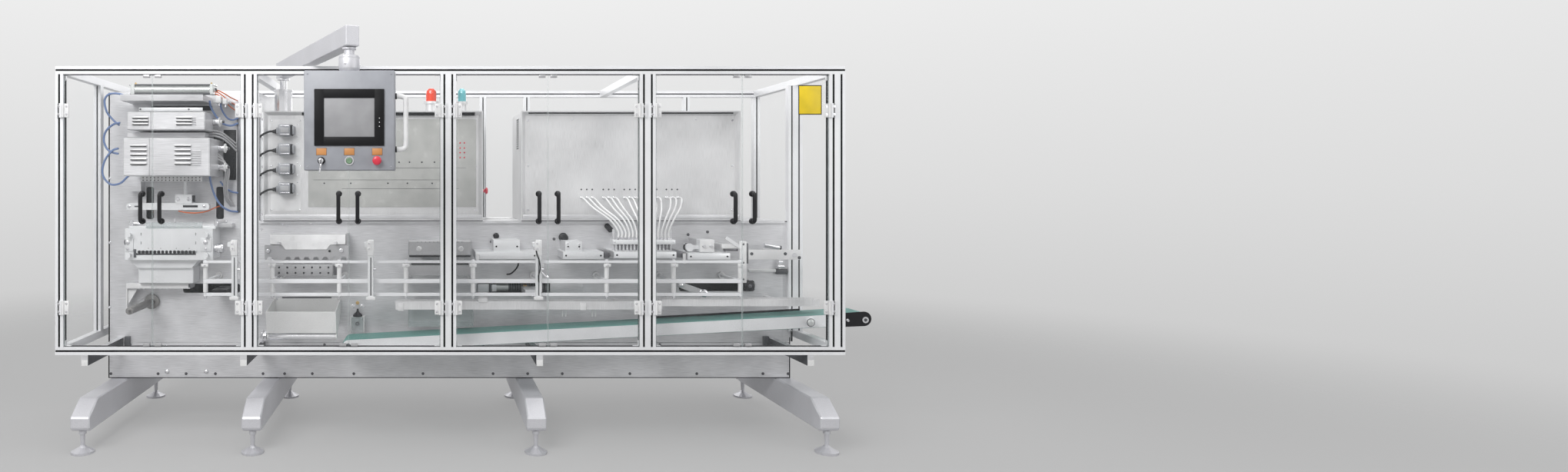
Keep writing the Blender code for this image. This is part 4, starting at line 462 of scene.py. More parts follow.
sensor = bpy.data.cameras.new("camera")
sensor.lens = 18.60
sensor.sensor_width = 36.0
sensor.sensor_fit = "HORIZONTAL"
sensor.shift_x = 0.2263
sensor.shift_y = -0.0314
sensor.clip_end = 60.0
camera = bpy.data.objects.new("camera", sensor)
camera.location = (-0.2185, -4.400, 1.346)
camera.rotation_euler = (math.radians(90), 0, 0)
bpy.context.scene.collection.objects.link(camera)
bpy.context.scene.camera = camera
bpy.context.scene.view_settings.view_transform = "Standard"


def lamp(name, place, target, size, energy):
    """A soft rectangular light."""
    light = bpy.data.lights.new(name, "AREA")
    light.shape = "RECTANGLE"
    light.size, light.size_y = size
    light.energy = energy
    made = bpy.data.objects.new(name, light)
    made.location = place
    made.rotation_euler = (Vector(target) - Vector(place)).to_track_quat("-Z", "Y").to_euler()
    bpy.context.scene.collection.objects.link(made)


lamp("front_light", (-2.6, -4.4, 4.2), (0, 0.2, 0.8), (3.4, 2.0), 200)
lamp("top_light", (0.3, -0.6, 4.2), (0, 0.1, 0), (5.0, 1.6), 62)
lamp("right_light", (4.4, -3.2, 2.2), (0.5, 0, 0.9), (2.5, 2.5), 40)
lamp("back_light", (0.0, 3.6, 3.0), (0, 0.4, 1.0), (5.0, 2.0), 45)


def stage_seen(tree):
    """1 for the rays that see the stage as it is: camera, glossy and transmission rays."""
    rays = tree.nodes.new("ShaderNodeLightPath")
    value = rays.outputs["Is Camera Ray"]
    for kind in ("Is Glossy Ray", "Is Transmission Ray"):
        either = tree.nodes.new("ShaderNodeMath")
        either.operation = "MAXIMUM"
        tree.links.new(value, either.inputs[0])
        tree.links.new(rays.outputs[kind], either.inputs[1])
        value = either.outputs[0]
    return value


def stops(tree, value, low, high, greys):
    """A grey that follows a value from low to high through (place, grey) stops."""
    span = tree.nodes.new("ShaderNodeMapRange")
    span.inputs["From Min"].default_value = low
    span.inputs["From Max"].default_value = high
    tree.links.new(value, span.inputs["Value"])
    tones = tree.nodes.new("ShaderNodeValToRGB")
    elements = tones.color_ramp.elements
    elements.remove(elements[1])
    elements[0].position, elements[0].color = greys[0][0], (greys[0][1], greys[0][1], greys[0][1], 1)
    for place, grey in greys[1:]:
        elements.new(place).color = (grey, grey, grey, 1)
    tree.links.new(span.outputs["Result"], tones.inputs["Fac"])
    return tones.outputs["Color"]


FLOOR_REACH = 12.0
FLOOR_UP = -0.001
FLOOR_GREY = 0.50
FLOOR_SHADE = 0.45
FADE_START = 3.4
FADE_END = 8.5
SKY_STOPS = ((0.32, 0.50), (0.44, 0.62), (0.50, 0.72), (0.62, 0.87))
SKY_LIGHT = 0.46

world = bpy.data.worlds.new("studio")
world.use_nodes = True
bpy.context.scene.world = world
sky = world.node_tree
height = sky.nodes.new("ShaderNodeSeparateXYZ")
sky.links.new(sky.nodes.new("ShaderNodeTexCoord").outputs["Generated"], height.inputs[0])
lit = sky.nodes["Background"]
lit.inputs["Strength"].default_value = SKY_LIGHT
sky.links.new(ramp(sky, height.outputs["Z"], 0.30, 0.75, (0.60, 0.60, 0.61), (0.92, 0.92, 0.93)),
              lit.inputs["Color"])
shown = sky.nodes.new("ShaderNodeBackground")
sky.links.new(stops(sky, height.outputs["Z"], -1.0, 1.0, SKY_STOPS), shown.inputs["Color"])
blend = sky.nodes.new("ShaderNodeMixShader")
sky.links.new(stage_seen(sky), blend.inputs["Fac"])
sky.links.new(lit.outputs[0], blend.inputs[1])
sky.links.new(shown.outputs[0], blend.inputs[2])
sky.links.new(blend.outputs[0], sky.nodes["World Output"].inputs["Surface"])


def make_floor():
    """A plain pale floor that keeps the machine's shadow and fades out far from it."""
    data = bpy.data.meshes.new("floor")
    corners = [(x * FLOOR_REACH, y * FLOOR_REACH, FLOOR_UP) for x, y in ((-1, -1), (1, -1), (1, 1), (-1, 1))]
    data.from_pydata(corners, [], [(0, 1, 2, 3)])
    floor = bpy.data.objects.new("floor", data)
    bpy.context.scene.collection.objects.link(floor)
    material = bpy.data.materials.new("floor")
    material.use_nodes = True
    tree = material.node_tree
    away = tree.nodes.new("ShaderNodeVectorMath")
    away.operation = "LENGTH"
    tree.links.new(tree.nodes.new("ShaderNodeTexCoord").outputs["Object"], away.inputs[0])
    grey = stops(tree, away.outputs["Value"], 0.0, FADE_END, ((0.0, FLOOR_GREY), (0.9, FLOOR_GREY * 1.12)))
    shader = tree.nodes["Principled BSDF"]
    shader.inputs["Roughness"].default_value = 0.9
    tree.links.new(grey, shader.inputs["Base Color"])
    glow = tree.nodes.new("ShaderNodeEmission")
    tree.links.new(grey, glow.inputs["Color"])
    share = tree.nodes.new("ShaderNodeMath")
    share.operation = "MULTIPLY"
    share.inputs[1].default_value = 1 - FLOOR_SHADE
    tree.links.new(stage_seen(tree), share.inputs[0])
    mix = tree.nodes.new("ShaderNodeMixShader")
    tree.links.new(share.outputs[0], mix.inputs["Fac"])
    tree.links.new(shader.outputs[0], mix.inputs[1])
    tree.links.new(glow.outputs[0], mix.inputs[2])
    gone = tree.nodes.new("ShaderNodeMapRange")
    gone.interpolation_type = "SMOOTHSTEP"
    gone.inputs["From Min"].default_value = FADE_START
    gone.inputs["From Max"].default_value = FADE_END
    tree.links.new(away.outputs["Value"], gone.inputs["Value"])
    fade = tree.nodes.new("ShaderNodeMixShader")
    tree.links.new(gone.outputs["Result"], fade.inputs["Fac"])
    tree.links.new(mix.outputs[0], fade.inputs[1])
    tree.links.new(tree.nodes.new("ShaderNodeBsdfTransparent").outputs[0], fade.inputs[2])
    tree.links.new(fade.outputs[0], tree.nodes["Material Output"].inputs["Surface"])
    data.materials.append(material)


make_floor()


# ---------------------------------------------------------------- guard doors

BAYS = ((0.04, 0.94), (1.02, 1.95), (2.03, 2.96), (3.04, 3.92))
LEAF_GAP = 0.003
LEAF_UP = (0.537, 1.914)
LEAF_BACK = (0.004, 0.012)
PIN_BACK = -0.008
HINGES = (0.698, 1.696)
HINGE_TALL = 0.072
HANDLE_UP = (1.163, 1.319)


def make_door(number, edge, way, seam):
    """Clear leaf with polished edges, two hinges and a black bridge handle on two feet."""
    near = edge + way * LEAF_GAP
    far = seam - way * LEAF_GAP / 2
    span = (min(near, far), max(near, far))
    body = f"leaf_{number}"
    pane = Piece(f"pane_{number}", body)
    pane.block(CLEAR, inset(span, 0.002), LEAF_BACK, LEAF_UP, 0)
    glass = pane.done()
    rim = Piece(f"pane_edge_{number}", body)
    for along in ((span[0], span[0] + 0.0018), (span[1] - 0.0018, span[1])):
        rim.block(CLEAR_EDGE, along, LEAF_BACK, LEAF_UP, 0.0006)
    rim.done()
    fittings = Piece(f"door_fittings_{number}", body)
    pin = edge + way * LEAF_GAP / 2
    for bottom in HINGES:
        top = bottom + HINGE_TALL
        fittings.rod(WHITE, at(pin, PIN_BACK, bottom), at(pin, PIN_BACK, top), 0.0058)
        end = near + way * 0.026
        plate = (min(pin, end), max(pin, end))
        fittings.block(WHITE, plate, (-0.004, 0.004), (bottom + 0.001, top - 0.001), 0.0025)
        for height in (bottom + 0.016, top - 0.016):
            fittings.bolt(BRIGHT, at(near + way * 0.015, -0.0035, height), radius=0.0042, height=0.002)
    inner = seam - way * 0.012
    outer = seam - way * 0.046
    for low in (LEAF_UP[0] + 0.001, LEAF_UP[1] - 0.015):
        fittings.block(SATIN, (min(inner, outer), max(inner, outer)), (-0.0015, 0.0150), (low, low + 0.014),
                       0.002)
    grip = seam - way * 0.048
    back = -0.032
    low, high = HANDLE_UP
    route = [at(grip, 0.003, low + 0.009), at(grip, -0.018, low + 0.009), at(grip, -0.029, low + 0.012),
             at(grip, back, low + 0.024), at(grip, back, (low + high) / 2), at(grip, back, high - 0.024),
             at(grip, -0.029, high - 0.012), at(grip, -0.018, high - 0.009), at(grip, 0.003, high - 0.009)]
    fittings.tube(BLACK, smooth_path(route, 6), 0.0102, 14)
    for height in (low + 0.009, high - 0.009):
        fittings.turned(BLACK, at(grip, 0.0038, height), TO_FRONT,
                        [(0, 0.0155), (0.012, 0.0155), (0.016, 0.0135), (0.022, 0.0106)], 20)
        fittings.dome(BRIGHT, at(grip, 0.0122, height), TO_BACK, 0.006, 0.003)
    fittings.done()
    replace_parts(glass, f"door_{number}")


for bay_number, (bay_left, bay_right) in enumerate(BAYS):
    bay_seam = (bay_left + bay_right) / 2
    make_door(2 * bay_number + 1, bay_left, 1, bay_seam)
    make_door(2 * bay_number + 2, bay_right, -1, bay_seam)


# ---------------------------------------------------------------- operator panel

PANEL_SPAN = (1.340, 1.742)
PANEL_UP = (1.418, 1.860)
PANEL_FRONT = -0.53
PANEL_REAR = -0.43
BEZEL_SPAN = (1.387, 1.695)
BEZEL_UP = (1.527, 1.777)
SCREEN_SPAN = (1.429, 1.653)
SCREEN_UP = (1.565, 1.738)
RIM = 0.0018
BUTTON_UP = 1.461
KEY_ALONG = 1.418
START_ALONG = 1.541
STOP_ALONG = 1.664
DROP_ALONG = 1.536
DROP_BACK = -0.48

panel = Piece("panel_box", "panel")
panel.block(PANEL, PANEL_SPAN, (PANEL_FRONT + 0.0025, PANEL_REAR), PANEL_UP, 0.005)
panel.block(PANEL, inset(PANEL_SPAN, 0.003), (PANEL_FRONT, PANEL_FRONT + 0.006), inset(PANEL_UP, 0.003),
            0.0018)
for along in inset(PANEL_SPAN, 0.016):
    for up in inset(PANEL_UP, 0.016):
        panel.dome(PANEL, at(along, PANEL_FRONT, up), TO_FRONT, 0.0042, 0.0018)
for along in (KEY_ALONG, START_ALONG, STOP_ALONG):
    panel.block(LABEL, around(along, 0.022), (PANEL_FRONT - 0.0012, PANEL_FRONT + 0.001), (1.486, 1.516),
                0.0006)
    panel.block(DARK_GREY, around(along, 0.0235), (PANEL_FRONT - 0.0006, PANEL_FRONT + 0.001),
                (1.4845, 1.5175), 0.0004)
for step in range(6):
    panel.block(DARK_GREY, inset(PANEL_SPAN, 0.09), (PANEL_REAR - 0.001, PANEL_REAR + 0.0006),
                (1.60 + step * 0.022, 1.607 + step * 0.022), 0.0004)
panel_box = panel.done()
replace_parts(panel_box, "operator_box")

rings = Piece("button_rings", "panel")
for along, radius, hole in ((START_ALONG, 0.020, 0.0152), (STOP_ALONG, 0.019, 0.0122)):
    rings.ring(BRIGHT, at(along, PANEL_FRONT - 0.0042, BUTTON_UP), TO_BACK, hole, radius, 0.006)
rings.ring(BLACK, at(KEY_ALONG, PANEL_FRONT - 0.003, BUTTON_UP), TO_BACK, 0.0090, 0.0165, 0.004)
rings.done()

neck = Piece("drop_tube", "panel")
neck.turned(STAINLESS_FOOT, at(DROP_ALONG, DROP_BACK, PANEL_UP[1] - 0.002), UPWARD,
            [(0, 0.040), (0.014, 0.047), (0.016, 0.0475), (0.058, 0.0475), (0.060, 0.0468), (0.062, 0.0475),
            (0.072, 0.045), (0.076, 0.026), (0.0785, 0.024), (0.100, 0.024), (0.1005, 0.0315),
            (0.1093, 0.0315)], 40)
for turn in range(3):
    side = Vector((math.sin(turn * 2.1 - 0.3), -math.cos(turn * 2.1 - 0.3), 0))
    neck.bolt(BRIGHT, at(DROP_ALONG, DROP_BACK, 1.890) + side * 0.0470, side, 0.004, 0.002)
neck.done()

grip = Piece("panel_handle", "panel")
back = PANEL_FRONT + 0.045
side = PANEL_SPAN[1]
route = [at(side + out, back, up) for out, up in
         ((-0.003, 1.750), (0.024, 1.750), (0.041, 1.744), (0.0468, 1.726), (0.0468, 1.632), (0.0468, 1.537),
          (0.041, 1.519), (0.024, 1.513), (-0.003, 1.513))]
grip.tube(WHITE, smooth_path(route, 7), 0.0118, 18)
for up in (1.513, 1.750):
    grip.cap(BLACK, at(side - 0.001, back, up), TO_RIGHT, 0.0135, 0.006, 0.008, 0.0120, 24)
grip.done()

display = Piece("display", "panel")
bezel_rear = PANEL_FRONT - 0.0003
window = inset(SCREEN_SPAN, -0.001)
for along, up in (((BEZEL_SPAN[0], SCREEN_SPAN[0]), BEZEL_UP), ((SCREEN_SPAN[1], BEZEL_SPAN[1]), BEZEL_UP),
                  (window, (BEZEL_UP[0], SCREEN_UP[0])), (window, (SCREEN_UP[1], BEZEL_UP[1]))):
    display.block(BEZEL, along, (bezel_rear - 0.006, bezel_rear), up, 0.0008)
display.block(SCREEN, window, (bezel_rear - 0.0035, bezel_rear - 0.001), inset(SCREEN_UP, -0.001), 0.0004)
for along, up in (((SCREEN_SPAN[0], SCREEN_SPAN[0] + RIM), SCREEN_UP),
                  ((SCREEN_SPAN[1] - RIM, SCREEN_SPAN[1]), SCREEN_UP),
                  (SCREEN_SPAN, (SCREEN_UP[0], SCREEN_UP[0] + RIM)),
                  (SCREEN_SPAN, (SCREEN_UP[1] - RIM, SCREEN_UP[1]))):
    display.block(DARK_GREY, along, (bezel_rear - 0.0042, bezel_rear - 0.002), up, 0.0003)
for up in (1.612, 1.630, 1.648):
    display.dome(WHITE, at(1.674, bezel_rear - 0.006, up), TO_FRONT, 0.0022, 0.0006)
shown = display.done()
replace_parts(shown, "touch_screen")

key = Piece("key_and_lock", "key")
front = PANEL_FRONT - 0.0003
key.turned(BRIGHT, at(KEY_ALONG, front, BUTTON_UP), TO_FRONT,
           [(0, 0.007), (0.0140, 0.0108), (0.0150, 0.0105), (0.0155, 0.0095)], 28)
key.block(BRIGHT, (1.4170, 1.4190), (-0.557, -0.538), around(BUTTON_UP, 0.005), 0.0004)
key.turned(BLACK, at(1.4165, -0.5475, BUTTON_UP), TO_RIGHT, [(0, 0.0092), (0.0004, 0.0098),
           (0.0026, 0.0098), (0.003, 0.0092)], 24)
key.ring(BRIGHT, at(KEY_ALONG, -0.5535, BUTTON_UP - 0.010), TO_BACK, 0.0052, 0.0070, 0.0016)
key.block(BRIGHT, (1.4135, 1.4205), (-0.5545, -0.5525), (1.425, BUTTON_UP - 0.015), 0.0006, (TO_BACK, 12))
key.block(BRIGHT, (1.4115, 1.4165), (-0.5545, -0.5530), (1.402, 1.427), 0.0005, (TO_BACK, 12))
made = key.done()
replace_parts(made, "key_switch")

start = Piece("start_cap", "start")
start.turned(GREEN, at(START_ALONG, PANEL_FRONT + 0.012, BUTTON_UP), TO_FRONT,
             [(0, 0.0138), (0.018, 0.0138), (0.0205, 0.0132), (0.0215, 0.0120), (0.0218, 0.0105),
             (0.0212, 0.0080)], 36)
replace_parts(start.done(), "start_button")
stop = Piece("stop_head", "stop")
stop.turned(RED, at(STOP_ALONG, PANEL_FRONT + 0.012, BUTTON_UP), TO_FRONT, [(0, 0.0110), (0.023, 0.0110),
            (0.0255, 0.0180), (0.029, 0.0198), (0.0335, 0.0200), (0.0370, 0.0178), (0.0392, 0.0130),
            (0.0400, 0.0060)], 40)
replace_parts(stop.done(), "stop_button")


# ---------------------------------------------------------------- guard frame

GUARD_LENGTH = 4.0
GUARD_DEPTH = 1.10
GUARD_UP = (0.494, 1.957)
GROOVE_UP = inset(GUARD_UP, 0.02)
INNER_UP = (0.534, 1.917)
PROFILE_WIDTH = 0.040
POSTS = (0.98, 1.99, 3.00)
REAR_POSTS = (1.22, 2.236, 2.515, 3.534)
STRIP_UP = inset(INNER_UP, 0.001)
STRIP_SPAN = (0.002, GUARD_LENGTH - 0.002)
WIDE_GROOVE = 0.0049
STRIP_HALF = 0.0037
THIN_GROOVE = 0.0035

# Dark strips in the grooves of the front posts and rails.
slots = Piece("front_slot_strips")
centres = [0.02, 3.94, 3.98] + [post + side for post in POSTS for side in (-0.02, 0.02)]
for centre in centres:
    slots.block(RUBBER, around(centre, WIDE_GROOVE), (-0.0004, 0.0075), STRIP_UP, 0.0006)
for centre in GROOVE_UP:
    slots.block(RUBBER, STRIP_SPAN, (-0.0004, 0.0075), around(centre, WIDE_GROOVE), 0.0006)
slots.done()

# Dark strips in the grooves of the rear posts, the ends, the back and the roof.
rear_slots = Piece("rear_slot_strips")
rear_face = GUARD_DEPTH - PROFILE_WIDTH
for centre in (0.02, *REAR_POSTS, GUARD_LENGTH - 0.02):
    rear_slots.block(RUBBER, around(centre, STRIP_HALF), (rear_face + 0.0015, rear_face + 0.0075), STRIP_UP,
                     0.0006)
for centre in (0.02, 3.94, 3.98):
    rear_slots.block(RUBBER, around(centre, STRIP_HALF), (0.4715, 0.4775), STRIP_UP, 0.0006)
end_groove = (GUARD_LENGTH - 0.0016, GUARD_LENGTH + 0.0004)
back_groove = (GUARD_DEPTH - 0.0016, GUARD_DEPTH + 0.0004)
rail_span = (0.01, GUARD_LENGTH - 0.01)
for centre in GROOVE_UP:
    rear_slots.block(RUBBER, end_groove, (0.05, rear_face - 0.01), around(centre, THIN_GROOVE), 0)
for centre in (0.02, 0.49, GUARD_DEPTH - 0.02):
    rear_slots.block(RUBBER, end_groove, around(centre, THIN_GROOVE), INNER_UP, 0)
for centre in (*REAR_POSTS, 0.02, GUARD_LENGTH - 0.02):
    rear_slots.block(RUBBER, around(centre, THIN_GROOVE), back_groove, INNER_UP, 0)
for centre in GROOVE_UP:
    rear_slots.block(RUBBER, rail_span, back_groove, around(centre, THIN_GROOVE), 0)
    rear_slots.block(RUBBER, rail_span, (rear_face - 0.0004, rear_face + 0.0016),
                     around(centre, THIN_GROOVE), 0)
for centre in POSTS:
    rear_slots.block(RUBBER, around(centre, THIN_GROOVE), (0.05, rear_face - 0.01),
                     around(GUARD_UP[1], 0.0004), 0)
rear_slots.done()

gaskets = Piece("pane_gaskets")
for left, right in BAYS:
    for along in ((left - 0.0022, left + 0.0004), (right - 0.0004, right + 0.0022)):
        gaskets.block(RUBBER, along, (0.012, 0.0385), (0.536, 1.915), 0)
    for up in ((0.5335, 0.5352), (1.9158, 1.9175)):
        gaskets.block(RUBBER, (left, right), (0.012, 0.0385), up, 0)
gaskets.done()

brackets = Piece("corner_brackets")
for left, right in BAYS:
    for along, way in ((left, 1), (right, -1)):
        for up, rise in ((INNER_UP[0], 1), (INNER_UP[1], -1)):
            low, high = sorted((along, along + way * 0.030))
            bottom, top = sorted((up, up + rise * 0.030))
            brackets.block(MACHINED, (low, high), (0.020, 0.038), sorted((up, up + rise * 0.004)), 0.0008)
            brackets.block(MACHINED, sorted((along, along + way * 0.004)), (0.020, 0.038), (bottom, top),
                           0.0008)
brackets.done()

fixed = Piece("fixed_hinge_screws")
for left, right in BAYS:
    for edge, way in ((left, 1), (right, -1)):
        for bottom in HINGES:
            for height in (bottom + 0.016, bottom + HINGE_TALL - 0.016):
                fixed.bolt(BRIGHT, at(edge - way * 0.018, -0.0098, height), radius=0.0042, height=0.002)
fixed.done()


# ---------------------------------------------------------------- base

PLATE_FRONT = 0.4895
NEAR_PLATE = 0.4890
ON_PLATE = 0.4896

apron = Piece("apron_bolts")
for along in (0.09, 0.357, 0.516, 0.682, 0.952, 1.074, 1.231, 1.466, 1.858, 2.255, 2.451, 2.647, 3.03,
        3.409, 3.784, 3.927):
    apron.bolt(DARK_STEEL, at(along, PLATE_FRONT, 0.287), radius=0.0055, height=0.0045)
for along in (0.408, 0.63):
    apron.dome(BRIGHT, at(along, PLATE_FRONT, 0.300), radius=0.014, height=0.010)
for along in (0.403, 0.63):
    apron.dome(BRIGHT, at(along, PLATE_FRONT, 0.440), radius=0.013, height=0.009)
for along in (0.2, 1.3, 2.2, 3.2, 3.8):
    apron.bolt(DARK_STEEL, at(along, PLATE_FRONT, 0.452), radius=0.005, height=0.004)
apron.done()


# ---------------------------------------------------------------- forming bay

louvres = Piece("cover_louvres")
for front, lefts, width, rows in ((0.2150, (0.309, 0.543), 0.088, (1.712, 1.695, 1.678)),
                                  (0.1950, (0.306, 0.541), 0.090, (1.562, 1.538, 1.514, 1.490, 1.466))):
    for left in lefts:
        for row in rows:
            louvres.block(STAINLESS, (left, left + width), (front - 0.0045, front + 0.001),
                          (row, row + 0.0085), 0.0035)
            # A black strip under each louvre: painted shadow.
            louvres.block(BLACK, (left + 0.003, left + width - 0.003), (front - 0.0030, front + 0.0005),
                          (row - 0.0035, row + 0.001), 0.0004)
for front, up in ((0.2150, (1.652, 1.744)), (0.1950, (1.405, 1.604))):
    louvres.block(DARK_GREY, around(0.409, 0.0006), (front - 0.0004, front + 0.0006), up, 0)
louvres.done()

holes = Piece("strip_holes")
holes.block(WHITE, (0.3275, 0.6605), (0.2984, 0.2999), (1.3765, 1.4030), 0.0006)
for row in (1.3815, 1.3955):
    for step in range(16):
        holes.turned(BLACK, at(0.340 + step * 0.0205, 0.2985, row), TO_FRONT,
                     [(0, 0.0034), (0.0008, 0.0032)], 12)
for along in (0.312, 0.708):
    holes.block(BLACK, around(along, 0.021), (0.5035, 0.5060), (1.1645, 1.3445), 0.001)
holes.done()

# Black sheets on the plate stand for the shade inside the cable pocket: painted shade. Beside them is a dark
# steel strip with bolts.
shade = Piece("cable_pocket")
shade.block(BLACK, (0.729, 0.800), (0.4845, NEAR_PLATE), (1.385, 1.668), 0.002)
shade.block(BLACK, (0.640, 0.728), (0.4845, NEAR_PLATE), (1.608, 1.640), 0.002)
shade.block(DARK_STEEL, (0.805, 0.860), (0.4865, NEAR_PLATE), (1.20, 1.80), 0.001)
for up in (1.25, 1.50, 1.75):
    shade.bolt(BRIGHT, at(0.845, 0.4865, up), radius=0.005, height=0.003)
shade.done()

drums = Piece("cover_side_drums")
for left, up in ((0.697, 1.705), (0.7275, 1.559), (0.7275, 1.455)):
    drums.turned(BRIGHT, at(left, 0.385, up), TO_RIGHT, [(0, 0.019), (0.004, 0.019), (0.005, 0.0165),
                 (0.024, 0.0165), (0.025, 0.019), (0.034, 0.019)], 28)
    drums.turned(WHITE, at(left + 0.034, 0.385, up), TO_RIGHT, [(0, 0.0255), (0.004, 0.0265),
                 (0.006, 0.0255), (0.007, 0.012), (0.016, 0.010)], 28)
    drums.cap(DARK_GREY, at(left + 0.050, 0.385, up), TO_RIGHT, 0.007, 0.010, 0.012, 0.005, 16)
drums.done()

cylinder = Piece("cylinder_fittings")
for along, way in ((0.2627, -1), (0.721, 1)):
    for back in (0.317, 0.363):
        for up in (1.854, 1.901):
            cylinder.cap(BRIGHT, at(along - way * 0.0006, back, up), (way, 0, 0), 0.0052, 0.004, 0.0046,
                         0.0035, 6)
for along in (0.285, 0.700):
    cylinder.turned(BRASS, at(along, 0.34, 1.9065), UPWARD, [(0, 0.006), (0.006, 0.006),
                    (0.0062, 0.0045), (0.011, 0.0045)], 16)
for step in range(3):
    cylinder.cap(DARK_GREY, at(0.7205, 0.327 + step * 0.013, 1.882 - step * 0.006), TO_RIGHT, 0.0045, 0.009,
                 0.011, 0.0035, 14)
for up in (1.8545, 1.9010):
    cylinder.rod(DARK_GREY, at(0.290, 0.3135, up), at(0.700, 0.3135, up), 0.0048)
cylinder.block(MACHINED, (0.3197, 0.665), (0.290, 0.2930), (1.7560, 1.7755), 0.001)
cylinder.block(MACHINED, (0.3197, 0.665), (0.2925, NEAR_PLATE), (1.7560, 1.7580), 0.0004)
cylinder.block(BLACK, (0.3197, 0.665), (0.480, NEAR_PLATE), (1.7780, 1.8040), 0.001)
for along in (0.328, 0.5905):
    cylinder.bolt(DARK_STEEL, at(along, 0.2902, 1.7665), radius=0.0036, height=0.003)
cylinder.block(WHITE, (0.724, 0.752), (0.330, 0.372), (1.806, 1.844), 0.003)
cylinder.block(WHITE, (0.758, 0.782), (0.345, 0.378), (1.800, 1.832), 0.003)
cylinder.block(MACHINED, (0.700, 0.790), (0.372, NEAR_PLATE), (1.812, 1.824), 0.001)
cylinder.rod(BRIGHT, at(0.7382, 0.352, 1.790), at(0.7382, 0.352, 1.8062), 0.0055)
cylinder.rod(BRIGHT, at(0.770, 0.362, 1.784), at(0.770, 0.362, 1.8002), 0.0055)
cylinder.done()

clamp = Piece("clamp_details", "clamp")
for along in (0.504, 0.563):
    clamp.turned(BRIGHT, at(along, 0.3795, 1.278), TO_FRONT, [(0, 0.0105), (0.004, 0.0105),
                 (0.006, 0.0085), (0.0062, 0.004)], 20)
clamp.block(WHITE, (0.487, 0.580), (0.3795, 0.3845), (1.2595, 1.297), 0.001)
clamp.block(BLACK, (0.5815, 0.5960), (0.3830, 0.3900), (1.2620, 1.2980), 0.001)
for along in (0.234, 0.648):
    clamp.turned(BRIGHT, at(along, 0.3848, 1.238), TO_FRONT, [(0, 0.0095), (0.003, 0.0095),
                 (0.005, 0.007), (0.0052, 0.004)], 20)
clamp.block(BLACK, (0.530, 0.612), (0.3835, 0.3852), (1.232, 1.244), 0.0008)
clamp.block(DARK_GREY, (0.262, 0.300), (0.3815, 0.3852), (1.2345, 1.2415), 0.001)
clamp.block(PROFILE, (0.216, 0.675), (0.3842, 0.3852), (1.2195, 1.2215), 0.0003)
clamp.done()

# Radii of the blue hoses, and the places that each one passes.
BLUE = 0.0058
THIN_BLUE = BLUE * 0.9
BLUE_ROUTES = (
    (BLUE, traced((163, 124.8, 0.345), (152, 121.6, 0.345), (141, 123, 0.345), (135.8, 131, 0.345),
                  (138.5, 145, 0.345), (146, 155, 0.345), (155, 163, 0.345))),
    (BLUE, traced((156, 159.5, 0.33), (147, 162, 0.33), (138, 170, 0.33), (134.8, 181, 0.33),
                  (138, 192, 0.33), (145, 198, 0.33), (154, 200, 0.33))),
    (BLUE, traced((154, 193, 0.32), (146, 196, 0.32), (137, 207, 0.32), (133, 221, 0.32),
                  (135.5, 232, 0.32), (144.5, 240, 0.32), (156, 238.5, 0.32), (163.5, 232, 0.32),
                  (168.5, 227, 0.32))),
    (BLUE, traced((272.4, 131, 0.40), (274, 139, 0.40), (280, 150, 0.405), (289.5, 160.5, 0.42),
                  (300, 163.5, 0.45), (309, 160.5, 0.486))),
    (THIN_BLUE, [at(0.736, 0.362, 1.842), at(0.740, 0.372, 1.815)]
     + traced((288, 142, 0.41), (295, 153, 0.43), (302, 156, 0.455), (309, 154, 0.486))),
    (BLUE, traced((272.4, 228, 0.37), (274.5, 240, 0.375), (279, 254, 0.385), (287, 267, 0.41),
                  (298, 274, 0.45), (309, 275.5, 0.486))),
    (THIN_BLUE, traced((286, 236, 0.42), (292, 243, 0.43), (300, 249, 0.455), (309, 251, 0.486))),
)
for number, (radius, route) in enumerate(BLUE_ROUTES, 1):
    hose(f"blue_hose_{number}", BLUE_HOSE, route, radius)
for number, shift in enumerate((0, 4.5, 9.5)):
    hose(f"orange_hose_{number + 1}", ORANGE_HOSE, traced((279.5, 117.5 + shift * 0.5, 0.34),
         (284, 118 + shift * 0.6, 0.345), (292, 122 + shift, 0.37), (300, 127 + shift * 1.3, 0.42),
         (308.5, 131 + shift * 1.5, 0.484)), 0.0034)
hose("orange_hose_4", ORANGE_HOSE, traced((232, 274.5, 0.40), (242, 276.5, 0.40), (255, 277, 0.405),
     (268, 275, 0.41), (280, 270, 0.45), (286, 268, 0.487)), 0.0038, "clamp")
for number, (low, drop) in enumerate(((0, 0.0), (3.5, 1.0), (7, 2.0))):
    hose(f"braided_hose_{number + 1}", GREY_HOSE, traced((270, 170 + low, 0.39), (279, 170 + low, 0.39),
         (288, 172.5 + low, 0.41), (297, 179 + low, 0.44), (307, 187 + low + drop, 0.484)), 0.0052)
    hose(f"braided_hose_{number + 4}", GREY_HOSE, traced((272, 198 + low, 0.37), (281, 199 + low, 0.37),
         (289.5 + low * 0.7, 207 + low, 0.385), (293 + low * 0.7, 224, 0.40), (291 + low * 0.6, 243, 0.42),
         (293 + low * 0.6, 258, 0.45), (300 + low * 0.6, 268, 0.485)), 0.0048)


station = Piece("forming_details")
screws(station, BRIGHT, ((142.3, 315.5), (142.3, 399.7), (142.3, 232), (367, 291), (340, 298), (404, 290)),
       0.4897, 0.006)
station.turned(BRIGHT, at(0.7105, 0.36, 1.008), TO_RIGHT, [(0, 0.020), (0.006, 0.022), (0.012, 0.020),
               (0.016, 0.027), (0.040, 0.029), (0.050, 0.026), (0.056, 0.018), (0.057, 0.008)], 32)
station.rod(BRIGHT, at(0.7105, 0.395, 1.145), at(0.775, 0.375, 1.155), 0.0050)
station.turned(BRIGHT, at(0.7105, 0.395, 1.145), UPWARD, [(-0.016, 0.011), (0.014, 0.011),
               (0.016, 0.009)], 20)
station.turned(BRIGHT, at(0.765, 0.378, 1.1535), (1, -0.3, 0.15), [(0, 0.005), (0.002, 0.008),
               (0.010, 0.0085), (0.012, 0.006)], 20)
station.rod(BRIGHT, at(0.243, 0.395, 1.145), at(0.300, 0.400, 1.142), 0.0050)
station.turned(BRIGHT, at(0.243, 0.395, 1.145), UPWARD, [(-0.016, 0.011), (0.010, 0.011),
               (0.012, 0.009)], 20)
station.block(MACHINED, (0.232, 0.712), (0.380, NEAR_PLATE), (1.1145, 1.1285), 0.001)
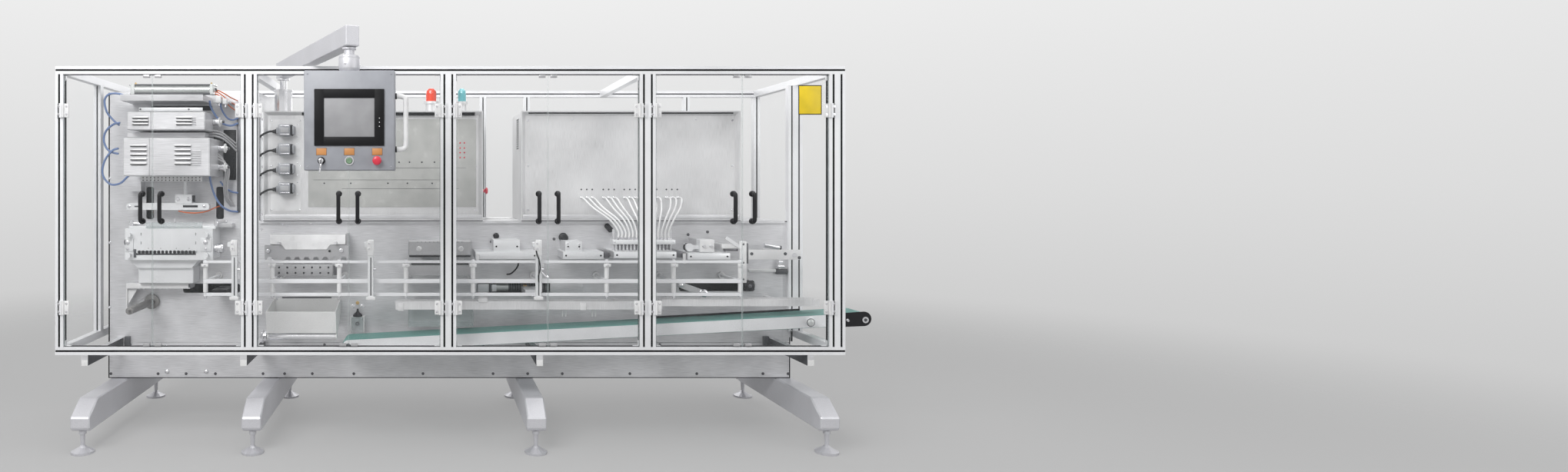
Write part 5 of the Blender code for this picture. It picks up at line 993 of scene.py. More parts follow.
station.block(CLEAR_EDGE, (0.330, 0.640), (0.362, 0.379), (1.1145, 1.1500), 0.001)
station.rod(BRIGHT, at(0.489, 0.372, 1.150), at(0.489, 0.372, 1.172), 0.0035)
station.done()

die = Piece("die_details", "front_die")
for along in (0.252, 0.676):
    for up, wide in ((1.0435, 1.0), (1.0085, 0.65)):
        die.turned(DARK_STEEL, at(along, 0.3148, up), TO_FRONT,
                   [(0, 0.0220 * wide), (0.0020, 0.0215 * wide)], 24)
        die.turned(BRIGHT, at(along, 0.3132, up), TO_FRONT, [(0, 0.0140 * wide), (0.004, 0.0140 * wide),
                   (0.0045, 0.0130 * wide), (0.009, 0.0120 * wide), (0.011, 0.009 * wide),
                   (0.0115, 0.003 * wide)], 24)
for along in (0.323, 0.621):
    for up in (1.092, 1.084, 1.044, 1.036):
        die.dome(BLACK, at(along, 0.3148, up), radius=0.0026, height=0.0008)
for along in (0.363, 0.430, 0.515, 0.585):
    die.dome(BLACK, at(along, 0.3148, 1.010), radius=0.0020, height=0.0006)
for span in ((0.646, 0.708), (0.240, 0.282)):
    die.block(MACHINED, span, (0.3085, 0.3148), (0.9945, 1.0655), 0.0015)
die.block(PROFILE, (0.4905, 0.4925), (0.3142, 0.3149), (1.012, 1.116), 0)
for step in range(15):
    die.turned(BLACK, at(0.3125 + step * 0.0214, 0.3149, 0.9905), TO_FRONT,
               [(0, 0.0086), (0.0012, 0.0082)], 20)
die.block(BLACK, (0.296, 0.622), (0.3134, 0.3149), (0.9745, 0.9835), 0.0008)
die.block(DARK_GREY, (0.283, 0.297), (0.3120, 0.3149), (0.9600, 1.0060), 0.001)
die.done()

bracket = Piece("die_bracket")
gusset = [at(0.214, 0.4180, 0.779), at(0.268, 0.4180, 0.779), at(0.214, 0.4180, 0.690)]
bracket.sheet(WHITE, gusset, TO_BACK, 0.004)
bracket.block(WHITE, (0.2085, 0.2145), (0.402, NEAR_PLATE), (0.660, 0.7795), 0.001)
bracket.block(WHITE, (0.2100, 0.565), (0.3985, 0.3998), (0.7830, 0.8100), 0.0005)
bracket.block(DARK_GREY, (0.556, 0.5665), (0.3970, 0.3990), (0.785, 0.806), 0.001)
for along in (0.268, 0.300, 0.395, 0.430):
    bracket.cap(BRIGHT, at(along, 0.43, 0.7795), DOWNWARD, 0.007, 0.006, 0.007, 0.005, 16)
bracket.done()


# ---------------------------------------------------------------- cabinets and connector plate

CABINETS = ((0.958, 2.196), (2.412, 3.646))
CABINET_FACE = 0.4800
PLUG_FACE = 0.4797
PLUG_UP = (1.663, 1.556, 1.445, 1.337)
OUTLET_CENTRES = (2.784, 2.908, 3.027, 3.148, 3.265)
OUTLET_STEP = 0.031

plugs = Piece("plug_details")
for height in PLUG_UP:
    plugs.block(DIE_CAST, (1.0485, 1.1170), (PLUG_FACE - 0.0560, PLUG_FACE - 0.0032), around(height, 0.033),
                0.006)
    plugs.block(BLACK, (1.1172, 1.1260), (PLUG_FACE - 0.0530, PLUG_FACE - 0.0032), around(height, 0.030),
                0.003)
    plugs.block(DIE_CAST, (1.1262, 1.1370), (PLUG_FACE - 0.0490, PLUG_FACE - 0.0032), around(height, 0.024),
                0.003)
    plugs.block(DIE_CAST, (1.0350, 1.0490), (PLUG_FACE - 0.0420, PLUG_FACE - 0.0100),
                (height - 0.020, height + 0.016), 0.004)
    for side in (-0.024, 0.024):
        plugs.rod(BRIGHT, at(1.060, PLUG_FACE - 0.0545, height + side),
                  at(1.112, PLUG_FACE - 0.0545, height + side), 0.0035)
    plugs.block(GREY_HOSE, (1.062, 1.108), (PLUG_FACE - 0.0575, PLUG_FACE - 0.0550), around(height, 0.013),
                0.003)
    plugs.turned(BLACK, at(1.0315, PLUG_FACE - 0.026, height - 0.006), TO_LEFT,
                 [(-0.012, 0.0135), (0.004, 0.0135), (0.005, 0.011), (0.016, 0.0095), (0.020, 0.0075)], 20)
    for along in (1.048, 1.149):
        for rise in (-0.034, 0.034):
            plugs.dome(BRIGHT, at(along, PLUG_FACE - 0.0029, height + rise), radius=0.0035, height=0.0018)
for along in (1.004, 1.163):
    for up in (1.216, 1.465, 1.719):
        plugs.dome(BRIGHT, at(along, PLUG_FACE - 0.0029, up), radius=0.0040, height=0.0020)
plugs.done()
for number, height in enumerate(PLUG_UP):
    hose(f"plug_cable_{number + 1}", RUBBER, [at(1.0125, PLUG_FACE - 0.026, height - 0.006),
         at(0.995, PLUG_FACE - 0.027, height - 0.007), at(0.972, PLUG_FACE - 0.030, height - 0.016),
         at(0.950, PLUG_FACE - 0.024, height - 0.028), at(0.938, PLUG_FACE + 0.008, height - 0.035)], 0.0058)

fronts = Piece("cabinet_details")
for left, right in CABINETS:
    for along in (left + 0.040, right - 0.040):
        for up in (1.215, 1.465, 1.722):
            fronts.bolt(BRIGHT, at(along, CABINET_FACE - 0.0002, up), radius=0.0045, height=0.003)
for along in (1.62, 2.70, 3.40):
    fronts.bolt(BRIGHT, at(along, CABINET_FACE - 0.0002, 1.728), radius=0.0045, height=0.003)
fronts.block(MIMIC, (1.210, 2.158), (CABINET_FACE - 0.0035, CABINET_FACE - 0.0006), (1.232, 1.728), 0.001)
for up, left, right in ((1.452, 1.55, 2.10), (1.385, 1.24, 2.06), (1.335, 1.40, 2.06)):
    fronts.block(DARK_GREY, (left, right), (CABINET_FACE - 0.0042, CABINET_FACE - 0.0034),
                 around(up, 0.0008), 0)
dots = [(RED, up, (2.068, 2.092)) for up in (1.594, 1.565, 1.539, 1.511)]
dots += [(DARK_GREY, 1.485, (1.723, 1.782, 1.852, 1.923)), (DARK_GREY, 1.366, (1.30, 1.45, 1.66, 1.77, 1.91))]
for look, up, places in dots:
    for along in places:
        fronts.turned(look, at(along, CABINET_FACE - 0.0034, up), TO_FRONT, [(0, 0.0045), (0.002, 0.0043),
                      (0.003, 0.0025)], 14)
# A black strip under each slat of the side vent: painted shade between the slats.
for step in range(14):
    up = 1.567 + step * 0.0128
    fronts.block(BLACK, (2.4105, 2.4125), (0.600, 0.700), (up, up + 0.0055), 0)
    fronts.block(STAINLESS, (2.4065, 2.4122), (0.598, 0.702), (up + 0.005, up + 0.009), 0.0012)
fronts.turned(BRIGHT, at(2.1958, 0.56, 1.323), TO_RIGHT, [(0, 0.013), (0.004, 0.013), (0.0045, 0.010),
              (0.008, 0.010)], 24)
fronts.turned(RED, at(2.2038, 0.56, 1.323), TO_RIGHT, [(0, 0.010), (0.010, 0.010), (0.014, 0.019),
              (0.020, 0.0195), (0.025, 0.015), (0.027, 0.006)], 28)
for left, right in CABINETS:
    for along in (left + 0.08, (left + right) / 2, right - 0.08):
        fronts.block(STAINLESS, around(along, 0.03), (0.9495, 0.9530), (1.25, 1.31), 0.001)
        fronts.block(STAINLESS, around(along, 0.03), (0.9495, 0.9530), (1.62, 1.68), 0.001)
fronts.block(STAINLESS, (2.20, 2.408), (0.70, 0.94), (1.1552, 1.1580), 0.001)
fronts.done()

outlets = Piece("tube_outlets")
for centre in OUTLET_CENTRES:
    for side in (-OUTLET_STEP, 0, OUTLET_STEP):
        outlets.dome(DARK_GREY, at(centre + side, CABINET_FACE - 0.0003, 1.331), radius=0.0048, height=0.002)
        outlets.turned(BRIGHT, at(centre + side, CABINET_FACE - 0.0003, 1.285), TO_FRONT,
                       [(0, 0.0085), (0.003, 0.0085), (0.0035, 0.0065), (0.010, 0.0065), (0.011, 0.0050)],
                       16)
outlets.done()

lamps = Piece("lamp_details")
for along, radius in ((1.905, 0.039), (2.083, 0.030)):
    place = at(along, 0.60, 1.7735)
    lamps.turned(STAINLESS, place, UPWARD, [(0.001, radius * 1.28), (0.0075, radius * 1.28),
                 (0.0085, radius * 0.90), (0.050, radius * 0.90), (0.0525, radius * 1.14),
                 (0.0655, radius * 1.14), (0.0660, radius * 1.02)], 36)
lamps.done()


# ---------------------------------------------------------------- stations on the rails

# The posts of the guide rails stand at even steps.
FIRST_POST = 0.706
POST_STEP = 0.354875

rails = Piece("rail_fittings")
for along in (FIRST_POST + step * POST_STEP for step in range(9)):
    for low, high, radius in ((0.7855, 0.8345, 0.0125), (0.8575, 0.9395, 0.0125)):
        rails.turned(WHITE, at(along, 0.20, low), UPWARD, [(0, radius - 0.001), (0.001, radius),
                     (high - low - 0.001, radius), (high - low, radius - 0.001)], 24)
    rails.cap(BRIGHT, at(along, 0.20, 0.9582), UPWARD, 0.0085, 0.004, 0.0048, 0.0070, 18)
    rails.block(WHITE, around(along, 0.019), (0.1805, 0.1860), (0.9220, 0.9385), 0.0015)
    rails.bolt(BRIGHT, at(along, 0.1803, 0.930), radius=0.0040, height=0.003)
    rails.turned(BRIGHT, at(along, 0.20, 0.7660), DOWNWARD, [(0, 0.0100), (0.004, 0.0100),
                 (0.006, 0.0070), (0.012, 0.0070), (0.0125, 0.0050)], 18)
    rails.ring(WHITE, at(along, 0.4715, 0.846), TO_BACK, 0.0085, 0.019, 0.018)
for up, back in ((0.9485, 0.1858), (0.846, 0.1885), (0.775, 0.1942)):
    rails.block(PROFILE, (0.698, 3.553), (back - 0.0006, back + 0.0004), around(up, 0.0012), 0)
rails.done()

heat = Piece("preheat_details", "preheat_jaw")
screws(heat, BRIGHT, ((353.5, 310.2), (445, 310.2)), 0.3297, 0.0055, 0.004)
screws(heat, BRIGHT, ((348.4, 326.2), (443.4, 325.6)), 0.3150, 0.0085, 0.006)
heat.dome(BLACK, seen(428.3, 326.6, 0.3152), radius=0.007, height=0.002)
cover = [at(along, 0.3170, up) for along, up in
         ((1.026, 1.086), (1.436, 1.086), (1.436, 1.034), (1.352, 1.030), (1.334, 1.004), (1.108, 1.004),
          (1.090, 1.030), (1.026, 1.034))]
heat.sheet(TUBE_WHITE, cover, TO_BACK, 0.0025)
heat.block(DARK_STEEL, (1.372, 1.392), (0.330, 0.350), (0.862, 0.925), 0.001)
for step in range(7):
    for row in (0.876, 0.906):
        heat.dome(DARK_GREY, at(1.075 + step * 0.0448, 0.3215, row), radius=0.0050, height=0.001)
heat.done()

mark = Piece("marking_details", "marking_jaw")
for along in (1.838, 2.066):
    mark.turned(WHITE, at(along, 0.3148, 1.008), TO_FRONT, [(0, 0.0145), (0.002, 0.0145), (0.003, 0.012),
                (0.005, 0.009)], 28)
    mark.dome(BRIGHT, at(along, 0.3100, 1.008), radius=0.0045, height=0.002)
mark.block(BLACK, (1.784, 2.119), (0.3165, 0.350), (0.9625, 0.9715), 0.001)
mark.block(BLACK, (1.795, 2.108), (0.3135, 0.3235), (0.921, 0.9305), 0.001)
for step in range(12):
    mark.dome(DARK_GREY, at(1.83 + step * 0.022, 0.3145, 1.0445), radius=0.0022, height=0.0006)
mark.done()

seal = Piece("sealing_details", "sealing_jaw")
for along in (3.388, 3.424):
    seal.cap(BLACK, at(along, 0.2998, 1.022), TO_FRONT, 0.0060, 0.002, 0.003, 0.0045, 20)
seal.turned(DARK_STEEL, at(3.294, 0.330, 1.016), TO_RIGHT, [(0, 0.021), (0.003, 0.023), (0.024, 0.023),
            (0.027, 0.021)], 28)
seal.turned(BLACK, at(3.286, 0.330, 1.016), TO_RIGHT, [(0, 0.015), (0.008, 0.016), (0.0085, 0.020)], 24)
seal.block(WHITE, (3.364, 3.441), (0.2985, 0.3002), (0.992, 1.057), 0.0008)
seal.done()

FILL_SPAN = (2.882, 3.217)
FILL_BACK = 0.268
NOZZLES = 15
FIRST_NOZZLE = 2.912
NOZZLE_RUN = 0.275
NOZZLE_ALONG = [FIRST_NOZZLE + number * NOZZLE_RUN / (NOZZLES - 1) for number in range(NOZZLES)]
OUTLET_ALONG = [centre + OUTLET_STEP * side for centre in OUTLET_CENTRES for side in (-1, 0, 1)]

fill = Piece("filling_bar", "filler")
fill.block(MACHINED, FILL_SPAN, (0.252, 0.321), (1.036, 1.060), 0.002)
for along in NOZZLE_ALONG:
    fill.rod(BRIGHT, at(along, FILL_BACK, 0.9935), at(along, FILL_BACK, 1.066), 0.0032)
    fill.turned(BRIGHT, at(along, FILL_BACK, 1.0603), UPWARD,
                [(0, 0.0072), (0.006, 0.0072), (0.0065, 0.0055), (0.013, 0.0055), (0.0135, 0.0046)], 6)
    fill.turned(DARK_STEEL, at(along, FILL_BACK, 1.0357), DOWNWARD,
                [(0, 0.0066), (0.009, 0.0066), (0.010, 0.0046), (0.030, 0.0044), (0.031, 0.0032)], 12)
for along in (2.890, 3.209):
    fill.bolt(BRIGHT, at(along, 0.2518, 1.048), radius=0.0045, height=0.003)
for along in (2.896, 3.203):
    fill.ring(BRIGHT, at(along, 0.305, 1.060), UPWARD, 0.0082, 0.0125, 0.004)
fill.block(MACHINED, (2.884, 3.215), (0.2505, 0.2522), (1.038, 1.058), 0.0006)
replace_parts(fill.done(), "filling_head")

tubes = Piece("filling_tubes", "filler")
for along, outlet in zip(NOZZLE_ALONG, OUTLET_ALONG):
    route = [at(along, FILL_BACK, 1.070), at(along, FILL_BACK, 1.105),
             at(along + (outlet - along) * 0.25, FILL_BACK + 0.012, 1.165),
             at(along + (outlet - along) * 0.75, FILL_BACK + 0.070, 1.230),
             at(outlet, FILL_BACK + 0.135, 1.279), at(outlet, PLUG_FACE, 1.285)]
    tubes.tube(TUBE_WHITE, smooth_path(route, 6), 0.0048, 12)
tubes.done(("machine", "filler", at(3.05, FILL_BACK, 1.270), at(3.05, FILL_BACK, 1.080)))

grips = Piece("gripper_details", "carriage")
grips.block(BLACK, (0.6990, 0.7810), (0.3450, 0.4860), (0.7452, 0.7806), 0.001)
for along in (0.87, 1.586, 2.467):
    grips.block(WHITE, around(along, 0.0165), (0.1435, 0.1495), (0.985, 1.066), 0.003)
    grips.block(WHITE, (along - 0.021, along + 0.006), (0.1405, 0.1440), (1.010, 1.058), 0.002)
    grips.block(DARK_GREY, (along - 0.002, along + 0.004), (0.1478, 0.1500), (0.775, 0.975), 0.0008)
    for up in (1.048, 1.022):
        grips.bolt(BRIGHT, at(along - 0.008, 0.1405, up), radius=0.0042, height=0.003)
    grips.turned(BRIGHT, at(along + 0.0165, 0.158, 0.912), TO_RIGHT, [(0, 0.006), (0.006, 0.006),
                 (0.007, 0.004), (0.012, 0.004)], 14)
    grips.block(WHITE, around(along, 0.024), (0.144, 0.1505), (0.7520, 0.7700), 0.002)
    grips.rod(BRIGHT, at(along + 0.012, 0.160, 0.772), at(along + 0.012, 0.160, 0.978), 0.0042)
grips.rod(BRIGHT, at(2.483, 0.152, 0.898), at(2.508, 0.142, 0.872), 0.0045)
grips.turned(BRIGHT, at(2.505, 0.143, 0.875), (0.9, -0.3, -0.2), [(0, 0.006), (0.004, 0.0095),
             (0.012, 0.0095), (0.016, 0.006)], 18)
grips.block(STAINLESS, (0.705, 2.505), (0.3288, 0.3302), (0.7515, 0.7625), 0.0004)
grips.done()
hose("gripper_cable", RUBBER, [at(2.452, 0.146, 1.020), at(2.458, 0.138, 0.990), at(2.470, 0.136, 0.955),
     at(2.474, 0.139, 0.915), at(2.466, 0.141, 0.880), at(2.468, 0.146, 0.845)], 0.0035, body="carriage")
hose("probe_cable", RUBBER, [at(2.375, 0.30, 0.945), at(2.378, 0.32, 0.918), at(2.368, 0.36, 0.890),
     at(2.350, 0.42, 0.862), at(2.335, 0.487, 0.850)], 0.0045)

covers = Piece("station_covers")
for span, up, front in (((2.144, 2.482), (0.953, 0.991), 0.30), ((2.620, 2.841), (0.953, 0.991), 0.30),
        ((3.288, 3.517), (0.953, 0.987), 0.27), ((2.244, 2.390), (0.985, 1.054), 0.33),
        ((2.635, 2.727), (0.992, 1.047), 0.32), ((2.8825, 3.2165), (0.9635, 0.997), 0.2375)):
    covers.block(MACHINED, inset(span, 0.0005), (front - 0.0030, front - 0.0002), inset(up, 0.0005), 0.0012)
    covers.block(MACHINED, inset(span, 0.0005), (front - 0.0010, PLATE_FRONT),
                 (up[1] + 0.0001, up[1] + 0.0016), 0.0004)
    for along in inset(span, 0.016):
        covers.cap(BLACK, at(along, front - 0.0028, (up[0] + up[1]) / 2), TO_FRONT, 0.0050, 0.001, 0.0015,
                   0.0035, 16)
for along, up in ((2.65, 1.012), (2.712, 1.032), (2.712, 1.008), (2.65, 1.036)):
    covers.bolt(BRIGHT, at(along, 0.3170, up), radius=0.0042, height=0.003)
for along, up in ((2.245, 1.035), (2.40, 1.035), (2.60, 1.050), (3.36, 1.075), (3.47, 1.09)):
    covers.bolt(DARK_STEEL, at(along, ON_PLATE, up), radius=0.0058, height=0.005)
covers.turned(BLACK, at(2.272, NEAR_PLATE, 1.068), TO_FRONT, [(0, 0.0165), (0.010, 0.0165), (0.018, 0.013),
              (0.022, 0.006)], 24)
covers.turned(BLACK, at(2.652, NEAR_PLATE, 1.060), TO_FRONT, [(0, 0.0255), (0.004, 0.0255), (0.005, 0.021),
              (0.055, 0.020), (0.060, 0.016)], 28)
covers.cap(BLACK, at(2.900, NEAR_PLATE, 1.125), (0.25, -1, -0.5), 0.016, 0.050, 0.055, 0.012, 20)
covers.block(DARK_STEEL, (2.846, 2.872), (0.300, NEAR_PLATE), (0.960, 0.990), 0.002)
covers.block(DARK_STEEL, (3.230, 3.270), (0.300, NEAR_PLATE), (0.962, 0.996), 0.002)
for along in (2.155, 3.276):
    covers.block(WHITE, around(along, 0.008), (0.286, 0.2965), (0.930, 0.985), 0.0015)
covers.done()

drives = Piece("drive_parts")
# Black sheets behind the plate's openings stand for the shade inside the housing: painted shade.
for span, up in (((0.499, 0.821), (0.745, 0.797)), ((2.163, 2.756), (0.745, 0.801)),
        ((3.309, 3.736), (0.754, 0.815))):
    drives.block(BLACK, inset(span, -0.004), (0.600, 0.605), inset(up, -0.004), 0)
drives.block(MACHINED, (2.168, 2.232), (0.503, 0.560), (0.748, 0.794), 0.002)
drives.block(DARK_GREY, (2.236, 2.244), (0.500, 0.560), (0.746, 0.800), 0.001)
drives.block(MACHINED, (2.248, 2.276), (0.508, 0.560), (0.750, 0.790), 0.002)
drives.rod(TUBE_STEEL, at(2.276, 0.535, 0.772), at(2.345, 0.535, 0.772), 0.023)
drives.rod(DARK_GREY, at(2.345, 0.540, 0.772), at(2.575, 0.540, 0.772), 0.021)
for step in range(5):
    drives.ring(BLACK, at(2.352 + step * 0.014, 0.540, 0.772), TO_RIGHT, 0.020, 0.0235, 0.007)
drives.cap(BRASS, at(2.430, 0.540, 0.772), TO_RIGHT, 0.024, 0.020, 0.021, 0.020, 28)
for step in range(7):
    drives.ring(BLACK, at(2.462 + step * 0.014, 0.540, 0.772), TO_RIGHT, 0.020, 0.0235, 0.007)
drives.block(STAINLESS_FLAT, (2.578, 2.762), (0.4868, ON_PLATE), (0.739, 0.807), 0.0008)
drives.done()

lips = Piece("cabinet_lips")
for span in CABINETS:
    lips.block(STAINLESS_FLAT, inset(span, 0.008), (0.4603, 0.4618), (1.1625, 1.1890), 0.0005)
    # A dark strip along each cabinet ledge's front edge: painted shadow of the ledge.
    lips.block(DARK_STEEL, inset(span, 0.001), (0.4588, 0.4603), (1.1530, 1.1580), 0.0004)
# Black strips in the rubber material over the top mitre of each cabinet recess: painted shade.
lips.block(RUBBER, (1.176, 2.150), (0.4620, 0.4640), (1.7480, 1.7645), 0.0005)
lips.block(RUBBER, (2.452, 3.606), (0.4620, 0.4640), (1.7575, 1.7645), 0.0005)
lips.block(PROFILE, (0.9315, 0.9565), (0.5060, 0.6000), (1.1560, 1.7700), 0.001)
for up in (1.19, 1.46, 1.73):
    lips.bolt(BRIGHT, at(0.944, 0.5060, up), radius=0.005, height=0.003)
lips.done()

crank = Piece("crank_link")
link = [at(along, 0.474, up) for along, up in
        ((3.298, 0.782), (3.300, 0.800), (3.322, 0.806), (3.452, 0.760), (3.458, 0.738), (3.436, 0.727),
         (3.318, 0.772))]
crank.sheet(STAINLESS, link, TO_BACK, 0.012)
crank.turned(BRIGHT, at(3.441, 0.4740, 0.744), TO_FRONT, [(0, 0.024), (0.006, 0.024), (0.008, 0.021),
             (0.020, 0.020), (0.022, 0.015), (0.022, 0.008)], 32)
crank.cap(BRIGHT, at(3.315, 0.4740, 0.790), TO_FRONT, 0.012, 0.008, 0.010, 0.009, 24)
crank.turned(BLACK, at(3.697, 0.4898, 0.788), TO_FRONT, [(0, 0.030), (0.030, 0.030), (0.034, 0.026),
             (0.036, 0.012)], 32)
crank.cap(DARK_STEEL, at(3.697, 0.4538, 0.788), TO_FRONT, 0.010, 0.004, 0.005, 0.007, 18)
crank.done()

trim = Piece("cutter_details", "cutter")
for along, up in ((3.640, 0.983), (3.822, 0.983), (3.898, 0.962)):
    trim.cap(DARK_GREY, at(along, 0.2886, up), TO_FRONT, 0.0085, 0.002, 0.003, 0.005, 20)
trim.block(TUBE_WHITE, (3.575, 3.612), (0.2850, 0.2912), (0.826, 1.050), 0.002)
trim.block(DARK_STEEL, (3.612, 3.622), (0.2870, 0.2912), (0.930, 1.040), 0.001)
trim.block(WHITE, (3.613, 3.9075), (0.2885, 0.2908), (0.9515, 1.0050), 0.001)
for up in (0.845, 0.935, 1.035):
    trim.bolt(DARK_STEEL, at(3.594, 0.2849, up), radius=0.0036, height=0.003)
trim.done()

stay = Piece("cutter_stay")
stay.rod(BRIGHT, at(3.765, 0.430, 1.020), at(3.850, 0.430, 1.006), 0.014)
stay.cap(DARK_GREY, at(3.848, 0.430, 1.0063), (1, 0, -0.16), 0.012, 0.012, 0.014, 0.008, 20)
stay.block(STAINLESS, (3.780, 3.835), (0.425, PLATE_FRONT), (0.990, 0.996), 0.001)
stay.block(WHITE, (3.70, 3.85), (0.470, PLATE_FRONT), (0.865, 0.880), 0.001)
stay.block(DARK_GREY, (3.853, 3.914), (0.470, NEAR_PLATE), (0.852, 0.882), 0.002)
stay.rod(BRIGHT, at(3.853, 0.462, 0.898), at(3.892, 0.462, 0.898), 0.009)
stay.rod(BRIGHT, at(3.858, 0.462, 0.922), at(3.884, 0.462, 0.922), 0.007)
stay.block(STAINLESS, (3.862, 3.872), (0.462, PLATE_FRONT), (0.882, 0.940), 0.001)
stay.block(WHITE, (3.485, 3.572), (0.300, 0.318), (1.010, 1.034), 0.002)
stay.block(DARK_STEEL, (3.500, 3.572), (0.302, 0.330), (0.996, 1.009), 0.001)
stay.block(STAINLESS, (3.500, 3.520), (0.318, PLATE_FRONT), (0.996, 1.030), 0.001)
stay.done()

outline = Piece("plate_outline")
outline.block(RUBBER, (0.958, 3.897), (0.4884, 0.4899), (1.1462, 1.1515), 0.0004)
outline.block(STAINLESS_FLAT, (3.8970, 3.9500), (0.4892, 0.4925), (0.470, 1.1500), 0.0008)
outline.block(RUBBER, (3.8970, 3.9500), (0.4884, PLATE_FRONT), (1.1462, 1.1515), 0.0004)
outline.block(RUBBER, (3.9420, 3.9515), (0.4880, PLATE_FRONT), (0.470, 1.1515), 0.0004)
outline.block(RUBBER, (0.0765, 3.9375), (0.4880, 0.4899), (0.2625, 0.2662), 0.0004)
for edge in (0.0765, 3.9325):
    outline.block(RUBBER, (edge, edge + 0.0050), (0.4880, 0.4899), (0.2625, 0.4930), 0.0004)
outline.block(RUBBER, (0.0770, 0.0840), (0.4884, 0.4899), (0.470, 1.878), 0.0004)
outline.done()


# ---------------------------------------------------------------- conveyor, trays and chute

SLOPE = 0.0527
TAIL_ALONG = 4.189
TAIL_UP = 0.645
NOSE_RADIUS = 0.0383
NOSE_BACK = 0.1665
NOSE_SHIFT = 0.005


def on_belt(along, drop):
    """Height of a line that runs with the belt's middle, at a drop below it."""
    return TAIL_UP - (TAIL_ALONG - along) * SLOPE - drop


belting = Piece("conveyor_details")
shadow = [at(along, 0.352, on_belt(along, -rise)) for along, rise in
          ((3.100, 0.0315), (3.100, 0.0445), (3.930, 0.0445), (3.930, 0.0315))]
belting.sheet(BLACK, shadow, TO_BACK, 0.004)
belting.turned(DARK_STEEL, at(3.905, 0.1699, 0.630), TO_FRONT, [(0, 0.022), (0.0015, 0.0215),
               (0.0018, 0.019)], 32)
belting.turned(TUBE_STEEL, at(3.905, 0.1682, 0.630), TO_FRONT, [(0, 0.0185), (0.002, 0.018),
               (0.005, 0.014), (0.007, 0.007), (0.0073, 0.003)], 32)
for along in (1.50, 4.10):
    belting.block(DARK_GREY, around(along, 0.030), (0.1685, 0.1702),
                  (on_belt(along, 0.0045), on_belt(along, -0.0045)), 0.001, (TO_BACK, -3.02))
    belting.bolt(BRIGHT, at(along, 0.1688, on_belt(along, 0.0)), radius=0.0060, height=0.005)
belting.done()

feet = Piece("bracket_ends")
# Each bracket's body is dark grey to stand for its shaded sides, with a pale front face: painted shade.
for centre in (0.148, 0.953, 2.453, 3.826):
    feet.block(DARK_GREY, around(centre, 0.0160), (0.0035, 0.4780), (0.4385, 0.4930), 0.001)
    feet.block(PALE_SHEET, around(centre, 0.0165), (0.0008, 0.0045), (0.4380, 0.4932), 0.001)
for foot in (0.188, 3.797):
    feet.block(DARK_GREY, around(foot, 0.0150), (0.4700, 0.4893), (0.4450, 0.5000), 0.002)
feet.done()

nose = Piece("conveyor_nose")
ends = []
for step in range(13):
    turn = math.radians(-90 + step * 15)
    ends.append(at(TAIL_ALONG - NOSE_SHIFT + NOSE_RADIUS * math.cos(turn), NOSE_BACK,
                   TAIL_UP + NOSE_SHIFT + NOSE_RADIUS * math.sin(turn)))
ends += [at(along, NOSE_BACK, on_belt(along, drop)) for along, drop in
         ((4.062, -0.0420), (4.030, -0.024), (4.030, 0.020), (4.062, 0.0315))]
nose.sheet(BLACK, ends, TO_BACK, 0.0032)
nose.ring(BRIGHT, at(TAIL_ALONG, 0.1660, TAIL_UP), TO_FRONT, 0.0085, 0.0165, 0.005)
nose.turned(DARK_GREY, at(TAIL_ALONG, 0.1660, TAIL_UP), TO_FRONT, [(0, 0.0085), (0.0035, 0.0080),
            (0.004, 0.004)], 24)
for along in (4.062, 4.096):
    nose.bolt(BRIGHT, at(along, NOSE_BACK, on_belt(along, -0.004)), radius=0.0048, height=0.004)
nose.done()

stand = Piece("sensor_stand")
screws(stand, BRIGHT, ((459, 398.1), (471, 398.1)), 0.4893, 0.009, 0.008)
screws(stand, BRASS, ((464.8, 394),), 0.4893, 0.007, 0.006)
stand.turned(BLACK, at(1.491, 0.455, 0.618), UPWARD, [(0, 0.026), (0.006, 0.0265), (0.016, 0.018),
             (0.024, 0.008), (0.034, 0.0055), (0.042, 0.005)], 28)
stand.block(CLEAR_EDGE, (1.452, 1.530), (0.436, 0.440), (0.528, 0.6175), 0.001)
stand.block(STAINLESS, (1.456, 1.526), (0.440, PLATE_FRONT), (0.610, 0.6165), 0.001)
for along in (1.4545, 1.5270):
    stand.block(WHITE, around(along, 0.003), (0.436, NEAR_PLATE), (0.528, 0.6165), 0.001)
stand.ring(DARK_STEEL, at(1.491, 0.4355, 0.580), TO_FRONT, 0.006, 0.011, 0.004)
stand.rod(BRIGHT, at(1.491, 0.450, 0.575), at(1.491, 0.450, 0.612), 0.010)
stand.done()

reject = Piece("reject_box")
REJECT_SPAN = (1.779, 2.134)
REJECT_BACK = (0.310, 0.470)
REJECT_UP = (0.585, 0.686)
for along, back, up in ((REJECT_SPAN, (0.310, 0.3125), REJECT_UP),
                        ((1.779, 1.7815), REJECT_BACK, REJECT_UP),
                        ((2.1315, 2.134), REJECT_BACK, REJECT_UP),
                        (REJECT_SPAN, REJECT_BACK, (0.5825, 0.585))):
    reject.block(CLEAR_EDGE, along, back, up, 0.0006)
for along in (1.80, 2.11):
    reject.block(STAINLESS, around(along, 0.008), (0.465, ON_PLATE), (0.640, 0.660), 0.001)
reject.done()

tabs = Piece("tray_tabs")
for x, y, back, half, front, drop, rise, edge in (
        (521, 401.5, 0.222, 0.015, 0.2195, 0.012, 0.028, 0.0015),
        (758.4, 400.6, 0.222, 0.016, 0.2195, 0.012, 0.028, 0.0015),
        (628, 387, 0.215, 0.025, 0.2150, 0.027, 0.027, 0.002)):
    place = seen(x, y, back)
    tabs.block(WHITE, around(place.x + LENGTH / 2, half), (front, 0.2245), (place.z - drop, place.z + rise),
               edge)
for along in (2.62, 2.78):
    for side in (-0.009, 0.009):
        tabs.rod(WHITE, at(along + side, 0.262, 0.6895), at(along + side, 0.262, 0.646), 0.0034)
tabs.done()

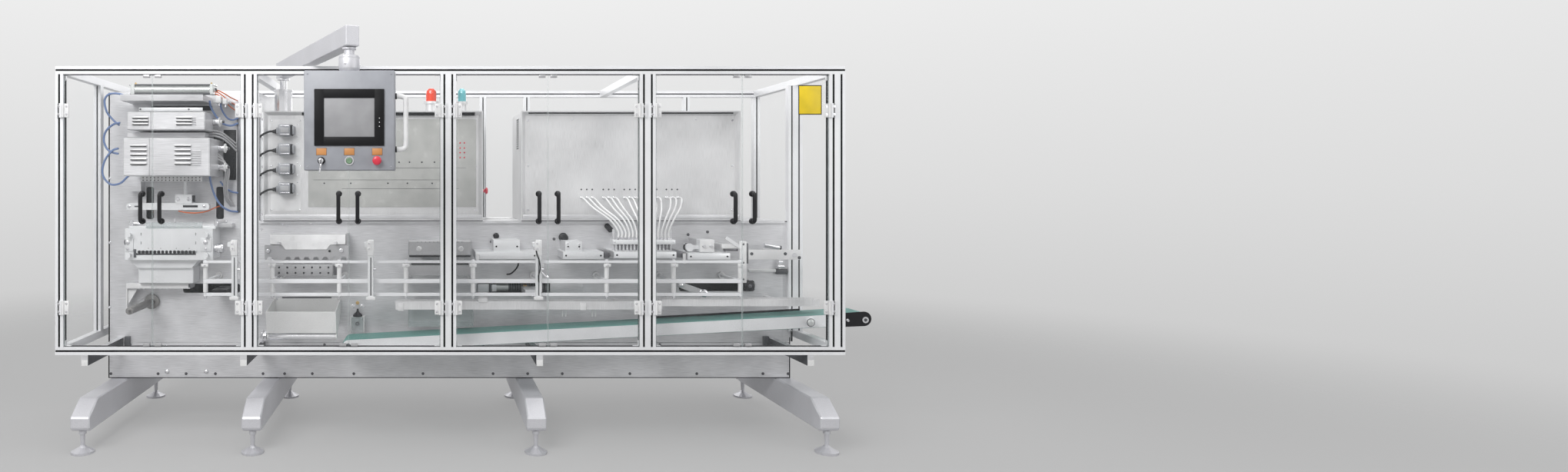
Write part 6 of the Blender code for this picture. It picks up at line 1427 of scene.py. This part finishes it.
chute = Piece("chute_details")
chute.turned(BRIGHT, at(0.9955, 0.300, 0.534), TO_LEFT, [(-0.0005, 0.026), (0.002, 0.034),
             (0.010, 0.035), (0.013, 0.031), (0.0135, 0.012)], 36)
for along in (1.03, 1.38):
    chute.bolt(BRIGHT, at(along, ON_PLATE, 0.71), radius=0.006, height=0.005)
chute.block(DARK_GREY, (1.06, 1.34), (0.4868, PLATE_FRONT), (0.712, 0.722), 0.0008)
chute.done()

plate = Piece("caution_plate", "leaf_8")
plate.block(BLACK, (3.7630, 3.8815), (0.0028, 0.0040), (1.7110, 1.8610), 0.0005)
plate.block(YELLOW, (3.7675, 3.8770), (0.0022, 0.0030), (1.7155, 1.8565), 0.0005)
plate.done()


# ---------------------------------------------------------------- covers on the back

rear = Piece("rear_covers")


def rear_cover(span, up, back, rows):
    """A screwed sheet cover on the back with two banks of louvres, a black strip of painted shadow under each
    louvre, and a lift ring.
    """
    rear.block(STAINLESS, span, (back + 0.0002, back + 0.0022), up, 0.0008)
    middle = (span[0] + span[1]) / 2
    for along in (span[0] + 0.020, middle, span[1] - 0.020):
        for height in inset(up, 0.020):
            rear.bolt(BRIGHT, at(along, back + 0.0022, height), TO_BACK, 0.0055, 0.0035)
    reach = (span[1] - span[0]) / 4
    for left in (middle - reach - 0.060, middle + reach - 0.060):
        for row in range(rows):
            height = up[1] - 0.090 - row * 0.022
            rear.block(STAINLESS, (left, left + 0.120), (back + 0.0015, back + 0.0070),
                       (height, height + 0.009), 0.0035)
            # A black strip under each louvre: painted shadow.
            rear.block(BLACK, (left + 0.003, left + 0.117), (back + 0.0018, back + 0.0050),
                       (height - 0.0035, height + 0.001), 0.0004)
    rear.ring(BLACK, at(middle, back + 0.0022, up[1] - 0.110), TO_BACK, 0.020, 0.028, 0.004)
    rear.cap(DARK_GREY, at(middle, back + 0.0022, up[1] - 0.110), TO_BACK, 0.019, 0.0015, 0.002, 0.017, 24)


for span in ((0.110, 1.345), (1.375, 2.610), (2.640, 3.870)):
    rear_cover(span, (0.500, 1.120), 1.0, 5)
for span in ((0.985, 2.170), (2.438, 3.620)):
    rear_cover(span, (1.185, 1.745), 0.950, 6)
for along in (0.14, 0.90, 1.66, 2.42, 3.18, 3.88):
    rear.bolt(BRIGHT, at(along, 1.040, 0.435), TO_BACK, 0.0060, 0.0040)
rear.done()
